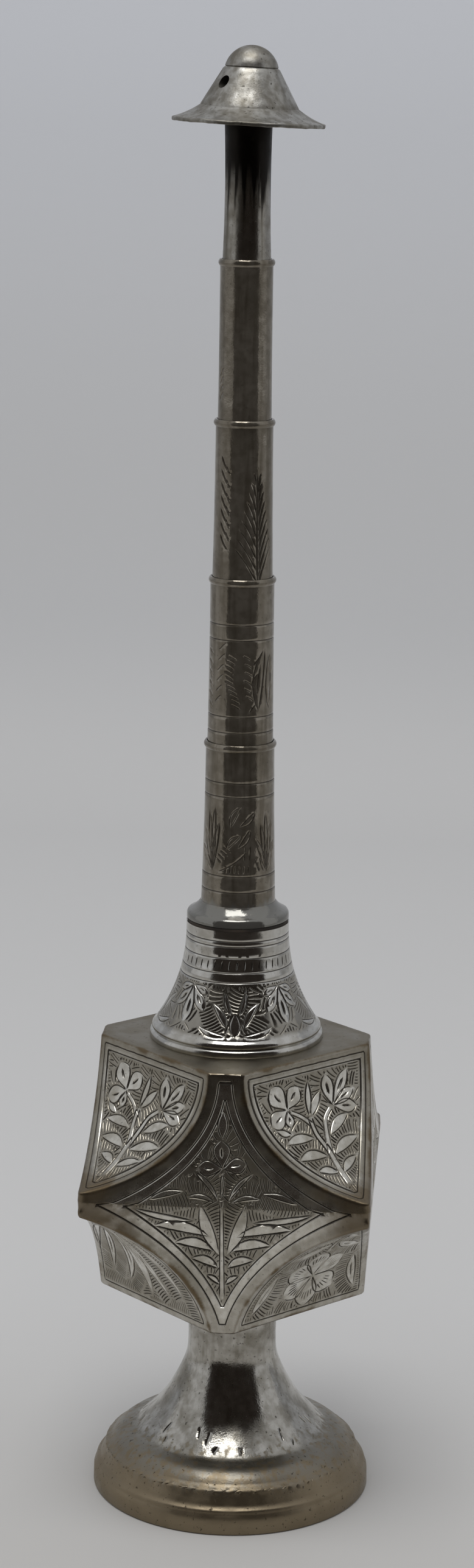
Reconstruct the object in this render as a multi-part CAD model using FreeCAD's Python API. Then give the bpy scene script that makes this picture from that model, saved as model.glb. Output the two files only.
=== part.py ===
import FreeCAD, Part
import math
import os

# A rosewater sprinkler of plated brass. Sizes are in millimetres, Z points up and the origin is
# the middle of the foot's rest face. The front facet of the vessel faces -Y.

# Fits
solder_gap = 0.1
thread_gap = 0.2

# Foot, whose rim stands a little inside the vessel's widest place
foot_inset = 0.4
foot_rim_width = 2.6
foot_band_lean = 0.3
foot_band_height = 4.2
foot_ledge_width = 0.9
foot_ledge_height = 5.1
foot_dome_radius = 18.8
foot_dome_height = 11.9
foot_dome_bulge = 1.3
foot_flare_radius = 13.5
foot_flare_height = 17.6
foot_throat_radius = 9.5
foot_throat_height = 25.2
foot_waist_radius = 8.65
foot_waist_height = 30.5
foot_top_radius = 9.0
foot_height = 40.7
foot_wall = 1.4
foot_top_plate = 3.5

# Rivet between the foot and the vessel
rivet_radius = 3.0
rivet_head_radius = 5.4
rivet_head_height = 1.8

# Vessel
vessel_equator_half = 27.7
vessel_end_half = 26.0
vessel_half_height = 25.85
vessel_wall = 1.6
vessel_end_wall = 2.0
vessel_mouth_radius = 10.0
upper_panel_radius = 25.5
upper_tip_half_width = 3.3
upper_side_tip = 1.7
lower_panel_radius = 30.4
lower_tip_half_width = 2.2
lower_side_tip = 3.0
lap_height = 1.6
lap_wall = 0.9

# Bell
bell_height = 23.0
bell_flange_radius = 16.8
bell_flange_height = 1.7
bell_flange_round = 0.6
bell_flange_bulge = 0.15
bell_step_radius = 15.7
bell_step_height = 3.2
bell_flare_radius = 11.65
bell_flare_height = 11.0
bell_top_radius = 9.9
bell_throat_radius = 12.8

# Screw joint between the bell and the neck
thread_pitch = 2.0
thread_turns = 3
thread_root_radius = 6.2
thread_depth = 0.75
thread_crest_half_width = 0.25
thread_base_half_width = 0.7
thread_start = 6.9
socket_radius = 8.4
socket_length = 9.6
washer_thickness = 0.5
washer_radius = 9.7
spigot_length = 7.9
spigot_bore_radius = 4.6
spigot_tail = 4.0

# Collar
collar_radius = 9.85
collar_band_height = 1.7
collar_height = 3.6
collar_top_radius = 7.2
collar_cove = 0.32

# Neck tubes, from the lowest to the highest
tube_lengths = [30.0, 31.5, 29.6, 29.5, 26.4]
tube_foot_radii = [7.15, 6.3, 5.75, 5.05, 4.55]
tube_middle_radii = [6.75, 6.12, 5.5, 4.95, 4.22]
tube_head_radii = [6.55, 6.05, 5.4, 4.94, 4.42]
tube_wall = 0.8
tube_tail_length = 4.0
tube_tail_wall = 0.7

# Beads over the joints between the tubes
bead_radii = [6.93, 6.39, 5.79, 5.28]
bead_height = 1.3
bead_round = 0.3

# Cap
cap_brim_radius = 14.1
cap_brim_edge = 0.7
cap_brim_drop = 1.0
cap_brim_sweep = 0.25
cap_groove_radius = 9.15
cap_groove_height = 3.1
cap_cone_radius = 5.15
cap_cone_height = 10.1
cap_neck_radius = 4.9
cap_neck_height = 10.35
cap_height = 14.2
cap_wall = 1.3
cap_cavity_radius = 7.0
cap_lean = 2.6
flange_radius = 7.9
flange_thickness = 1.2
cap_spigot_length = 6.0
cap_spigot_wall = 0.6
spray_hole_radius = 1.15
spray_hole_count = 2
spray_hole_height = 7.4
spray_hole_angle = -134.0

# Widths and levels that the pieces share
foot_radius = vessel_equator_half - foot_inset
foot_ledge_radius = foot_radius - foot_band_lean - foot_ledge_width
vessel_middle = foot_height + vessel_half_height
vessel_top = foot_height + 2 * vessel_half_height
bell_top = vessel_top + bell_height
collar_foot = bell_top + washer_thickness
collar_top = collar_foot + collar_height
neck_top = collar_top + sum(tube_lengths)
reach = 4 * (vessel_equator_half + lower_panel_radius)

origin = FreeCAD.Vector(0, 0, 0)
axis = FreeCAD.Vector(0, 0, 1)


def point(radius, height):
    return FreeCAD.Vector(radius, 0, height)


def bulged(start, end, bulge):
    # the middle of an arc that swells to the left of the way from start to end
    along = end - start
    side = FreeCAD.Vector(-along.z, 0, along.x).normalize()
    return (start + end) * 0.5 + side * bulge


def crowned(edge, tip):
    # the middle of an arc from an edge to a tip on the axis, with its centre on the axis too
    rise = tip.z - edge.z
    radius = (edge.x ** 2 + rise ** 2) / (2 * rise)
    half_turn = math.atan2(rise, edge.x)
    return point(radius * math.sin(half_turn), tip.z - radius * (1 - math.cos(half_turn)))


def outline(start, *steps):
    # a step is a point for a line, a pair for an arc, or a list for a smooth curve
    edges = []
    here = start
    for step in steps:
        if isinstance(step, tuple):
            edges.append(Part.Arc(here, step[0], step[1]).toShape())
            here = step[1]
        elif isinstance(step, list):
            curve = Part.BSplineCurve()
            curve.interpolate([here] + step)
            edges.append(curve.toShape())
            here = step[-1]
        else:
            edges.append(Part.makeLine(here, step))
            here = step
    edges.append(Part.makeLine(here, start))
    return Part.Wire(edges)


def turned(start, *steps):
    solid = Part.Face(outline(start, *steps)).revolve(origin, axis, 360)
    return solid if solid.Volume > 0 else solid.reversed()


def rod(radius, bottom, top):
    return Part.makeCylinder(radius, top - bottom, point(0, bottom), axis)


def slab(bottom, top):
    corner = FreeCAD.Vector(-reach, -reach, bottom)
    return Part.makeBox(2 * reach, 2 * reach, top - bottom, corner)


def square(half, height):
    corners = [(-half, -half), (half, -half), (half, half), (-half, half), (-half, -half)]
    return Part.makePolygon([FreeCAD.Vector(x, y, height) for x, y in corners])


# Foot
def make_foot():
    ledge = point(foot_ledge_radius, foot_ledge_height)
    dome = point(foot_dome_radius, foot_dome_height)
    trumpet = [
        point(foot_flare_radius, foot_flare_height),
        point(foot_throat_radius, foot_throat_height),
        point(foot_waist_radius, foot_waist_height),
        point(foot_top_radius, foot_height),
    ]
    inset = FreeCAD.Vector(-foot_wall, 0, 0)
    ceiling = foot_height - foot_top_plate
    hollow = [p + inset for p in reversed(trumpet[:-1])] + [dome + inset]
    return turned(
        point(foot_radius - foot_rim_width, 0),
        point(foot_radius, 0),
        point(foot_radius - foot_band_lean, foot_band_height),
        ledge,
        (bulged(ledge, dome, -foot_dome_bulge), dome),
        trumpet,
        point(rivet_radius + solder_gap, foot_height),
        point(rivet_radius + solder_gap, ceiling),
        point(foot_waist_radius - foot_wall, ceiling),
        hollow,
        point(foot_ledge_radius - foot_rim_width, foot_ledge_height - foot_wall),
    )


def make_foot_rivet():
    ceiling = foot_height - foot_top_plate
    floor = foot_height + vessel_end_wall
    shank = rod(rivet_radius, ceiling, floor)
    lower_head = rod(rivet_head_radius, ceiling - rivet_head_height, ceiling)
    upper_head = rod(rivet_head_radius, floor, floor + rivet_head_height)
    return shank.fuse([lower_head, upper_head]).removeSplitter()


# Vessel
def panel_centre(panel_radius, tip_half_width, side_tip):
    # in the upright plane through a corner, the panel runs from the end face to the side tip
    lean = (vessel_equator_half - vessel_end_half) / vessel_half_height
    tip_half = vessel_equator_half - lean * side_tip
    head = point((vessel_end_half + tip_half_width) / math.sqrt(2), vessel_half_height)
    tip = point(tip_half * math.sqrt(2), side_tip)
    half_chord = (tip - head).Length / 2
    return bulged(head, tip, math.sqrt(panel_radius ** 2 - half_chord ** 2))


def panel_cutters(inset, side, panel_radius, tip_half_width, side_tip):
    # four level cylinders, each hollowing one corner of the upper (1) or lower (-1) half
    centre = panel_centre(panel_radius, tip_half_width, side_tip)
    start = FreeCAD.Vector(centre.x, -reach / 2, vessel_middle + side * centre.z)
    cutters = []
    for quarter in range(4):
        cutter = Part.makeCylinder(panel_radius + inset, reach, start, FreeCAD.Vector(0, 1, 0))
        cutter.rotate(origin, axis, 45 + 90 * quarter)
        cutters.append(cutter)
    return cutters


def faceted_block(inset, end_inset):
    lean = (vessel_equator_half - vessel_end_half) / vessel_half_height
    equator = vessel_equator_half - inset
    rise = vessel_half_height - end_inset
    end = equator - lean * rise
    block = Part.makeLoft(
        [
            square(end, vessel_middle - rise),
            square(equator, vessel_middle),
            square(end, vessel_middle + rise),
        ],
        True,
        True,
    )
    upper = panel_cutters(inset, 1, upper_panel_radius, upper_tip_half_width, upper_side_tip)
    lower = panel_cutters(inset, -1, lower_panel_radius, lower_tip_half_width, lower_side_tip)
    return block.cut(upper + lower)


def make_vessel_upper_half():
    shell = faceted_block(0, 0).common(slab(vessel_middle, vessel_top))
    cavity = faceted_block(vessel_wall, vessel_end_wall)
    mouth = rod(vessel_mouth_radius, vessel_middle, vessel_top)
    return shell.cut([cavity, mouth])


def make_vessel_lower_half():
    shell = faceted_block(0, 0).common(slab(foot_height, vessel_middle))
    lap_inset = vessel_wall + solder_gap
    lap_foot = vessel_middle - lap_height
    lap_head = vessel_middle + lap_height
    lap = faceted_block(lap_inset, vessel_end_wall).common(slab(lap_foot, lap_head))
    narrow = faceted_block(lap_inset + lap_wall, vessel_end_wall)
    wide = faceted_block(vessel_wall, vessel_end_wall).common(slab(foot_height, lap_foot))
    rivet_hole = rod(rivet_radius + solder_gap, foot_height, vessel_middle)
    return shell.fuse(lap).cut([narrow, wide, rivet_hole])


# Bell and the screw joint in its mouth
def make_bell_neck():
    bore = socket_radius + solder_gap
    socket_foot = bell_top - socket_length
    step = point(bell_step_radius, vessel_top + bell_step_height)
    flare = point(bell_flare_radius, vessel_top + bell_flare_height)
    flange_head = vessel_top + bell_flange_height
    shoulder = point(bell_flange_radius, flange_head - bell_flange_round)
    lip = point(bell_flange_radius - bell_flange_round, flange_head)
    return turned(
        point(bell_throat_radius, vessel_top),
        point(bell_flange_radius, vessel_top),
        shoulder,
        (bulged(shoulder, lip, -bell_flange_bulge), lip),
        step,
        [flare, point(bell_top_radius, bell_top)],
        point(bore, bell_top),
        point(bore, socket_foot),
        point(bell_throat_radius, vessel_top + bell_step_height),
    )


def thread_ridge(root, gap, turns, bottom):
    crest = thread_root_radius + thread_depth + gap
    base_half = thread_base_half_width + gap
    crest_half = thread_crest_half_width + gap
    profile = outline(
        point(root, bottom - base_half),
        point(crest, bottom - crest_half),
        point(crest, bottom + crest_half),
        point(root, bottom + base_half),
    )
    helix = Part.makeHelix(thread_pitch, turns * thread_pitch, root)
    helix.translate(point(0, bottom))
    return Part.Wire(helix.Edges).makePipeShell([profile], True, True)


def make_threaded_socket():
    # the tap is a rod with a ridge that lies in step with the spigot's
    bottom = bell_top - socket_length
    lead_in = math.ceil((socket_length - thread_start) / thread_pitch) + 1
    turns = math.ceil(socket_length / thread_pitch) + 2
    first = bell_top - thread_start - lead_in * thread_pitch
    shank = rod(thread_root_radius + thread_gap, first - thread_pitch, first + (turns + 1) * thread_pitch)
    tap = shank.fuse(thread_ridge(thread_root_radius, thread_gap, turns, first))
    return rod(socket_radius, bottom, bell_top).cut(tap)


def make_seal_washer():
    hole = thread_root_radius + thread_depth + 2 * thread_gap
    return rod(washer_radius, bell_top, collar_foot).cut(rod(hole, bell_top, collar_foot))


def make_threaded_spigot():
    bottom = bell_top - spigot_length
    tail_radius = tube_bore(0) - solder_gap
    tail_top = collar_top + spigot_tail
    core = rod(thread_root_radius, bottom, collar_foot).fuse(rod(tail_radius, collar_foot, tail_top))
    sunk = thread_root_radius - solder_gap
    ridge = thread_ridge(sunk, 0, thread_turns, bell_top - thread_start)
    return core.fuse(ridge).cut(rod(spigot_bore_radius, bottom, tail_top))


# Collar and neck tubes
def make_neck_collar():
    bore = tube_bore(0)
    band = point(collar_radius, collar_foot + collar_band_height)
    head = point(collar_top_radius, collar_top)
    cove = bulged(band, head, collar_cove)
    return turned(
        point(bore, collar_foot),
        point(collar_radius, collar_foot),
        band,
        (cove, head),
        point(bore, collar_top),
    )


def tube_bore(index):
    narrowest = min(tube_foot_radii[index], tube_middle_radii[index], tube_head_radii[index])
    return narrowest - tube_wall


def tube_bottom(index):
    return collar_top + sum(tube_lengths[:index])


def make_tube_section(index):
    bottom = tube_bottom(index)
    top = tube_bottom(index + 1)
    head = point(tube_head_radii[index], top)
    middle = point(tube_middle_radii[index], (bottom + top) / 2)
    bore = tube_bore(index)
    outside = [point(tube_foot_radii[index], bottom), [middle, head], point(bore, top)]
    if index == 0:
        return turned(point(bore, bottom), *outside)
    tail = tube_bore(index - 1) - solder_gap
    tail_bore = min(bore, tail - tube_tail_wall)
    tail_bottom = bottom - tube_tail_length
    return turned(
        point(tail_bore, tail_bottom),
        point(tail, tail_bottom),
        point(tail, bottom),
        *outside,
        point(bore, bottom + tube_wall),
        point(tail_bore, bottom),
    )


def make_bead_ring(index):
    bottom = tube_bottom(index + 1)
    bore = tube_foot_radii[index + 1] + solder_gap
    lower = point(bead_radii[index] - bead_round, bottom)
    upper = point(bead_radii[index] - bead_round, bottom + bead_height)
    crown = point(bead_radii[index], bottom + bead_height / 2)
    return turned(point(bore, bottom), lower, (crown, upper), point(bore, bottom + bead_height))


# Cap, which sits a little crooked on the neck and touches it at one side
def seated(shape):
    rest_radius = tube_head_radii[-1]
    leaned = shape.copy()
    leaned.rotate(point(0, neck_top), FreeCAD.Vector(0, 1, 0), cap_lean)
    leaned.translate(point(0, rest_radius * math.sin(math.radians(cap_lean))))
    return leaned


def make_sprinkler_cap():
    brim_foot = neck_top - cap_brim_drop
    brim = point(cap_brim_radius, brim_foot + cap_brim_edge)
    groove = point(cap_groove_radius, brim_foot + cap_groove_height)
    cone = point(cap_cone_radius, brim_foot + cap_cone_height)
    waist = point(cap_neck_radius, brim_foot + cap_neck_height)
    tip = point(0, brim_foot + cap_height)
    ledge = neck_top + flange_thickness
    vault = point(cap_neck_radius - cap_wall, waist.z - cap_wall)
    roof = point(0, tip.z - cap_wall)
    shell = turned(
        point(cap_brim_radius - cap_brim_edge, brim_foot),
        point(cap_brim_radius, brim_foot),
        brim,
        (bulged(brim, groove, cap_brim_sweep), groove),
        cone,
        waist,
        (crowned(waist, tip), tip),
        roof,
        (crowned(vault, roof), vault),
        point(cap_cavity_radius, ledge),
        point(flange_radius + solder_gap, ledge),
        point(flange_radius + solder_gap, neck_top),
    )
    holes = []
    for number in range(spray_hole_count):
        start = point(0, brim_foot + spray_hole_height)
        hole = Part.makeCylinder(spray_hole_radius, cap_brim_radius, start, FreeCAD.Vector(1, 0, 0))
        hole.rotate(origin, axis, spray_hole_angle + number * 360 / spray_hole_count)
        holes.append(hole)
    return seated(shell.cut(holes))


def make_cap_spigot():
    # room for the lean over the length that sits in the tube
    sway = cap_spigot_length * math.tan(math.radians(cap_lean))
    radius = tube_bore(len(tube_lengths) - 1) - solder_gap - sway
    bottom = neck_top - cap_spigot_length
    ledge = neck_top + flange_thickness
    sleeve = rod(radius, bottom, ledge).fuse(rod(flange_radius, neck_top, ledge))
    return seated(sleeve.cut(rod(radius - cap_spigot_wall, bottom, ledge)).removeSplitter())


def make_pieces():
    pieces = {
        "foot": make_foot(),
        "foot_rivet": make_foot_rivet(),
        "vessel_lower_half": make_vessel_lower_half(),
        "vessel_upper_half": make_vessel_upper_half(),
        "bell_neck": make_bell_neck(),
        "threaded_socket": make_threaded_socket(),
        "seal_washer": make_seal_washer(),
        "threaded_spigot": make_threaded_spigot(),
        "neck_collar": make_neck_collar(),
        "sprinkler_cap": make_sprinkler_cap(),
        "cap_spigot": make_cap_spigot(),
    }
    for index in range(len(tube_lengths)):
        pieces[f"tube_section_{index + 1}"] = make_tube_section(index)
    for index in range(len(bead_radii)):
        pieces[f"bead_ring_{index + 1}"] = make_bead_ring(index)
    return pieces


os.makedirs("parts", exist_ok=True)
for name, shape in make_pieces().items():
    shape.exportStep(f"parts/{name}.step")
    box = shape.BoundBox
    volume = round(shape.Volume, 1)
    print(name, len(shape.Solids), shape.isValid(), volume, round(box.ZMin, 2), round(box.ZMax, 2))
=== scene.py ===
import bpy
import math
import numpy as np
from mathutils import Matrix, Vector
from mathutils.geometry import delaunay_2d_cdt, interpolate_bezier
from mathutils.kdtree import KDTree


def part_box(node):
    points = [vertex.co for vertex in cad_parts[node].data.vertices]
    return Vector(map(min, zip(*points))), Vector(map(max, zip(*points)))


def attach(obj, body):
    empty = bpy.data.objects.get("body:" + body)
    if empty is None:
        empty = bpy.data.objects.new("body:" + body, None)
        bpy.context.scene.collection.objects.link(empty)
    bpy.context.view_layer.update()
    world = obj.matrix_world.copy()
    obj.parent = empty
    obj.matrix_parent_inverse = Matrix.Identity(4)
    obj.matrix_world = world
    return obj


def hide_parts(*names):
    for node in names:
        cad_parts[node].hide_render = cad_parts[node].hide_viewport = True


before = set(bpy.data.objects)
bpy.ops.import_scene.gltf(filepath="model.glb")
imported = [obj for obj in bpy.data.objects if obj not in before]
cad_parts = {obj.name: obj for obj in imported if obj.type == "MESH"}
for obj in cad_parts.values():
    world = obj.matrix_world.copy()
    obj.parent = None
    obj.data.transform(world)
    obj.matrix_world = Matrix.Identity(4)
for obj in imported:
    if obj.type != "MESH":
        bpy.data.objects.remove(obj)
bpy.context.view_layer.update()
mm = 0.001
tiny = 1e-5
halfRoot = math.sqrt(0.5)
fullTurn = 2 * math.pi


# Levels and widths read from the frame, in millimetres

def level(node, top):
    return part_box(node)[1 if top else 0].z / mm


def width(node):
    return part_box(node)[1].x / mm


footTop = level("foot", True)
vesselMiddle = level("vessel_upper_half", False)
vesselTop = level("vessel_upper_half", True)
bellTop = level("bell_neck", True)
collarFoot = level("neck_collar", False)
tubeNames = [f"tube_section_{number}" for number in range(1, 6)]
tubeTops = [level(name, True) for name in tubeNames]
neckTop = tubeTops[-1]
print("frame loaded, neck top at", round(neckTop, 2), "mm")


# Lines, all in millimetres on a flat sheet

def at(x, y):
    return Vector((x, y))


def heading(degrees):
    turn = math.radians(degrees)
    return at(math.cos(turn), math.sin(turn))


def turnLeft(way):
    return Vector((-way.y, way.x))


def moved(points, x, y=0):
    return [(x + dx, y + dy) for dx, dy in points]


def inRow(start, step, count):
    return [(start[0] + step[0] * i, start[1] + step[1] * i) for i in range(count)]


def mirrored(line):
    return [at(-p.x, p.y) for p in reversed(line)]


def corners(points):
    # lowest and highest corner of the box round some points
    return [at(pick(p.x for p in points), pick(p.y for p in points)) for pick in (min, max)]


def measured(line):
    lengths = [0.0]
    for a, b in zip(line, line[1:]):
        lengths.append(lengths[-1] + (b - a).length)
    return lengths


def spaced(line, step):
    # the same line with points at most a step apart
    line = [Vector(p) for p in line]
    dense = line[:1]
    for a, b in zip(line, line[1:]):
        parts = max(1, math.ceil((b - a).length / step))
        dense += [a.lerp(b, i / parts) for i in range(1, parts + 1)]
    return dense


def through(points, steps=6):
    # a smooth line through given points
    points = [Vector(p) for p in points]
    line = points[:1]
    for i, (here, there) in enumerate(zip(points, points[1:])):
        after = points[min(i + 2, len(points) - 1)]
        near = here + (there - points[max(i - 1, 0)]) / 6
        far = there - (after - here) / 6
        line += [p.to_2d() for p in interpolate_bezier(here, near, far, there, steps + 1)[1:]]
    return line


def bowed(start, end, bow, steps=8):
    # one sweep of the graver, bowed to the left of its way
    start, end = Vector(start), Vector(end)
    knee = (start + end) / 2 + turnLeft((end - start).normalized()) * bow * 2
    shares = [i / steps for i in range(steps + 1)]
    return [start.lerp(knee, share).lerp(knee.lerp(end, share), share) for share in shares]


def arcAlong(start, middle, end, steps):
    # the curve that a turner's template takes through three points, by chord length
    p = [Vector(start), Vector(middle), Vector(end)]
    first = (p[1] - p[0]).length
    last = first + (p[2] - p[1]).length
    curve = []
    for i in range(steps + 1):
        t = last * i / steps
        a = (t - first) * (t - last) / (first * last)
        b = t * (t - last) / (first * (first - last))
        c = t * (t - first) / (last * (last - first))
        curve.append(p[0] * a + p[1] * b + p[2] * c)
    return curve


def wayAt(line, i, closed=False):
    if closed:
        return (line[(i + 1) % len(line)] - line[i - 1]).normalized()
    return (line[min(i + 1, len(line) - 1)] - line[max(i - 1, 0)]).normalized()


def beside(line, halves, closed=False):
    # the lines to the left and the right of a line, at its own distance at each point
    across = [turnLeft(wayAt(line, i, closed)) for i in range(len(line))]
    return [[p + left * half * sign for p, left, half in zip(line, across, halves)] for sign in (1, -1)]


# Engraving: a design holds cuts, and the plain shapes that its hatching leaves out

graver = {"outline": 0.2, "tick": 0.175, "border": 0.23, "slit": 0.34, "slope": 0.78, "taper": 1.8,
          "end": 0.3, "endShare": 0.9}
petalForm = {"steps": 10, "belly": 1.5, "blunt": 0.75, "slit": (0.36, 0.78), "slitBow": 0.05}


def newDesign():
    return {"cuts": [], "plain": []}


def cut(design, line, halfWidth, closed=False):
    design["cuts"].append((line, halfWidth, closed))


def tapered(line):
    # extra points close to the ends, so that a short cut keeps its width until there
    first, last = (end.lerp(inner, min(1, graver["end"] / (inner - end).length) * graver["endShare"])
                   for end, inner in (line[:2], line[:-3:-1]))
    return line[:1] + [first] + line[1:-1] + [last] + line[-1:]


def outlined(design, left, right, pointed=True):
    # a plain shape between two cuts, which meet at its ends where it is pointed
    design["plain"].append(left + (right[-2:0:-1] if pointed else right[::-1]))
    cut(design, left, graver["outline"])
    cut(design, right, graver["outline"])


def leaf(design, base, tip, bow, fat, vein=False):
    outlined(design, bowed(base, tip, bow + fat), bowed(base, tip, bow - fat))
    if vein:
        cut(design, bowed(base, tip, bow)[2:-2], graver["outline"])


def leaves(design, rows):
    for row in rows:
        leaf(design, *row)


def leafPairs(design, rows, middle=0):
    # the same leaves on both sides of an upright line
    for side in (-1, 1):
        for (x, y), (tipX, tipY), bow, *rest in rows:
            leaf(design, (middle + side * x, y), (middle + side * tipX, tipY), side * bow, *rest)


def petal(design, heart, degrees, length, fat, slit=True):
    # a drop that starts at the flower's heart, with a wedge cut along its middle
    heart, way = Vector(heart), heading(degrees)
    reach, across = way * length, turnLeft(way)
    sides = ([], [])
    for i in range(petalForm["steps"] + 1):
        t = i / petalForm["steps"]
        half = fat * math.sin(math.pi * t ** petalForm["belly"]) ** petalForm["blunt"] if t < 1 else 0
        for side, sign in zip(sides, (1, -1)):
            side.append(heart + reach * t + across * half * sign)
    outlined(design, *sides)
    if slit:
        start, end = (heart + reach * share for share in petalForm["slit"])
        cut(design, bowed(start, end, fat * petalForm["slitBow"], 4), graver["slit"])


def flower(design, heart, petals):
    for row in petals:
        petal(design, heart, *row)


def stem(design, points, fatFoot, fatTip):
    line = through(points)
    fats = [fatFoot + (fatTip - fatFoot) * i / (len(line) - 1) for i in range(len(line))]
    outlined(design, *beside(line, fats), False)


# Hatching: ticks that stand out from every plain shape until they meet the next one

hatch = {"cell": 0.1, "step": 0.6, "start": 0.25, "longest": 3.3, "shortest": 0.5, "room": 2, "margin": 1,
         "bow": 0.04}


def holds(polygon, x, y):
    # even-odd test of many places at once
    inside = np.zeros(x.shape, bool)
    for a, b in zip(polygon, polygon[1:] + polygon[:1]):
        if a.y != b.y:
            inside ^= ((a.y > y) != (b.y > y)) & (x < (b.x - a.x) * (y - a.y) / (b.y - a.y) + a.x)
    return inside


def cellOf(p, low):
    return int((p.y - low.y) / hatch["cell"]), int((p.x - low.x) / hatch["cell"])


def isFree(mask, low, p):
    row, column = cellOf(p, low)
    return 0 <= row < mask.shape[0] and 0 <= column < mask.shape[1] and mask[row, column]


def hatchGround(design, field, borders=None):
    cell, room = hatch["cell"], hatch["room"]
    low, high = corners(field)
    low -= at(hatch["margin"], hatch["margin"])
    high += at(hatch["margin"], hatch["margin"])
    x, y = np.meshgrid(np.arange(low.x, high.x, cell), np.arange(low.y, high.y, cell))
    free = holds(field, x, y)
    sources = [(border, 1) for border in (borders or [field + field[:1]])]
    for polygon in design["plain"]:
        free &= ~holds(polygon, x, y)
        area = sum(a.x * b.y - b.x * a.y for a, b in zip(polygon, polygon[1:] + polygon[:1]))
        sources.insert(0, (polygon + polygon[:1], -1 if area > 0 else 1))
    design["ground"] = (free.copy(), low)
    for line, sign in sources:
        carried = 0.0
        for a, b in zip(line, line[1:]):
            way = b - a
            out = turnLeft(way.normalized()) * sign
            while carried < way.length:
                foot = a + way.normalized() * carried
                carried += hatch["step"]
                reach = hatch["start"]
                while reach < hatch["longest"] and isFree(free, low, foot + out * reach):
                    reach += cell
                if reach - hatch["start"] < hatch["shortest"]:
                    continue
                start, end = foot + out * hatch["start"], foot + out * (reach - cell)
                tick = bowed(start, end, hatch["bow"] * (reach - hatch["start"]), 4)
                cut(design, tapered(tick), graver["tick"])
                for i in range(int((end - start).length / cell) + 1):
                    row, column = cellOf(start + out * i * cell, low)
                    free[max(row - room, 0):row + room + 1, max(column - room, 0):column + room + 1] = False
            carried -= way.length


# Turning flat designs into engraved skins

layers = ("cut", "edge", "ground")
weave = {"chain": 0.15, "floor": 0.08, "rim": 0.1, "row": 0.45, "clear": 0.12, "merge": 1e-4,
         "rings": (0.2, 0.45, 0.8, 1.2, 1.7), "wear": 3.2, "ease": 1.7}


def newSkin():
    return {name: [] for name in ("points", "faces", *layers)}


def tree(points):
    kd = KDTree(max(len(points), 1))
    for i, p in enumerate(points):
        kd.insert(p.to_3d(), i)
    kd.balance()
    return kd


def inField(outline, holes, places):
    x, y = np.array(places).T
    kept = holds(outline, x, y)
    for hole in holes:
        kept &= ~holds(hole, x, y)
    return kept


def valley(line, halfWidth, closed):
    # the two banks of a cut, with pointed ends unless it is closed or a ring
    lengths = measured(line)
    taper = graver["taper"] * halfWidth
    widths = [halfWidth * (1 if closed else min(1, min(far, lengths[-1] - far) / taper)) for far in lengths]
    return beside(line, widths, closed is True), widths


def carve(design, outline, holes=(), step=0.8, edges=()):
    # triangulates a flat outline so that every cut has a floor and two banks of its own
    points, chains, floors, floorWidths = [], [], [], []

    def chain(line, closed):
        first = len(points)
        points.extend(line)
        chains.extend((i, i + 1) for i in range(first, len(points) - 1))
        if closed:
            chains.append((len(points) - 1, first))

    for line in (outline, *holes):
        chain(line, True)
    for line, halfWidth, closed in design["cuts"]:
        banks, widths = valley(line, halfWidth, closed)
        for part in (line, *banks):
            chain(part, closed is True)
        loop = list(zip(line, widths))
        if closed is True:
            loop.append(loop[0])
        for (a, widthA), (b, widthB) in zip(loop, loop[1:]):
            parts = max(1, math.ceil((b - a).length / weave["floor"]))
            for i in range(parts + 1):
                floors.append(a.lerp(b, i / parts))
                floorWidths.append(widthA + (widthB - widthA) * i / parts)
    for line in edges:
        row = spaced(line, weave["row"])
        for p, q in zip(row, row[1:]):
            side = turnLeft((q - p).normalized())
            points.extend(p + side * sign * ring for ring in weave["rings"] for sign in (1, -1))
    low, high = corners(outline)
    columns, rows = (math.ceil((high[axis] - low[axis]) / step) for axis in (0, 1))
    for row in range(1, rows):
        y = low.y + (high.y - low.y) * row / rows
        points += [at(low.x + (high.x - low.x) * column / columns, y) for column in range(1, columns)]
    kept = inField(outline, holes, [tuple(p) for p in points])
    used = {i for pair in chains for i in pair}
    taken = tree([p for a, b in chains for p in spaced((points[a], points[b]), weave["chain"])[:-1]])
    order = [i for i, p in enumerate(points)
             if i in used or (kept[i] and taken.find(p.to_3d())[2] > weave["clear"])]
    place = {old: new for new, old in enumerate(order)}
    sheet = delaunay_2d_cdt(
        [points[i] for i in order], [(place[a], place[b]) for a, b in chains], [], 0, weave["merge"], False
    )
    flat = [Vector(p) for p in sheet[0]]
    middles = np.array([tuple(p) for p in flat])[np.array(sheet[2])].mean(axis=1)
    faces = [face for face, keep in zip(sheet[2], inField(outline, holes, middles)) if keep]
    rims = [p for line in edges for p in spaced(line, weave["rim"])]
    floorTree, rimTree = tree(floors), tree(rims)
    widest = max(floorWidths, default=0)
    depth, edge, ground = [], [], []
    for p in flat:
        near = floorTree.find_range(p.to_3d(), widest) if floors else ()
        depth.append(max([0.0] + [floorWidths[i] - away for _, i, away in near]))
        edge.append(max(0.0, 1 - rimTree.find(p.to_3d())[2] / weave["wear"]) if rims else 0.0)
        ground.append(float("ground" in design and isFree(*design["ground"], p)))
    return {"flat": flat, "faces": faces, "depth": depth, "edge": edge, "ground": ground}


def addPatch(skin, patch, place):
    # place gives the point and the outward normal of a spot on the flat sheet
    first = len(skin["points"])
    for p, depth in zip(patch["flat"], patch["depth"]):
        spot, outward = place(p.x, p.y)
        skin["points"].append((spot - outward * depth * graver["slope"]) * mm)
    skin["faces"] += [[first + i for i in face] for face in patch["faces"]]
    skin["cut"] += [min(1.0, depth / graver["tick"]) for depth in patch["depth"]]
    skin["edge"] += patch["edge"]
    skin["ground"] += patch["ground"]


def addPlain(skin, points, faces):
    first = len(skin["points"])
    skin["points"] += [Vector(p) * mm for p in points]
    skin["faces"] += [[first + i for i in face] for face in faces]
    for name in layers:
        skin[name] += [0.0] * len(points)


def deselect():
    if bpy.context.object and bpy.context.object.mode != "OBJECT":
        bpy.ops.object.mode_set(mode="OBJECT")
    bpy.ops.object.select_all(action="DESELECT")


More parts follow.
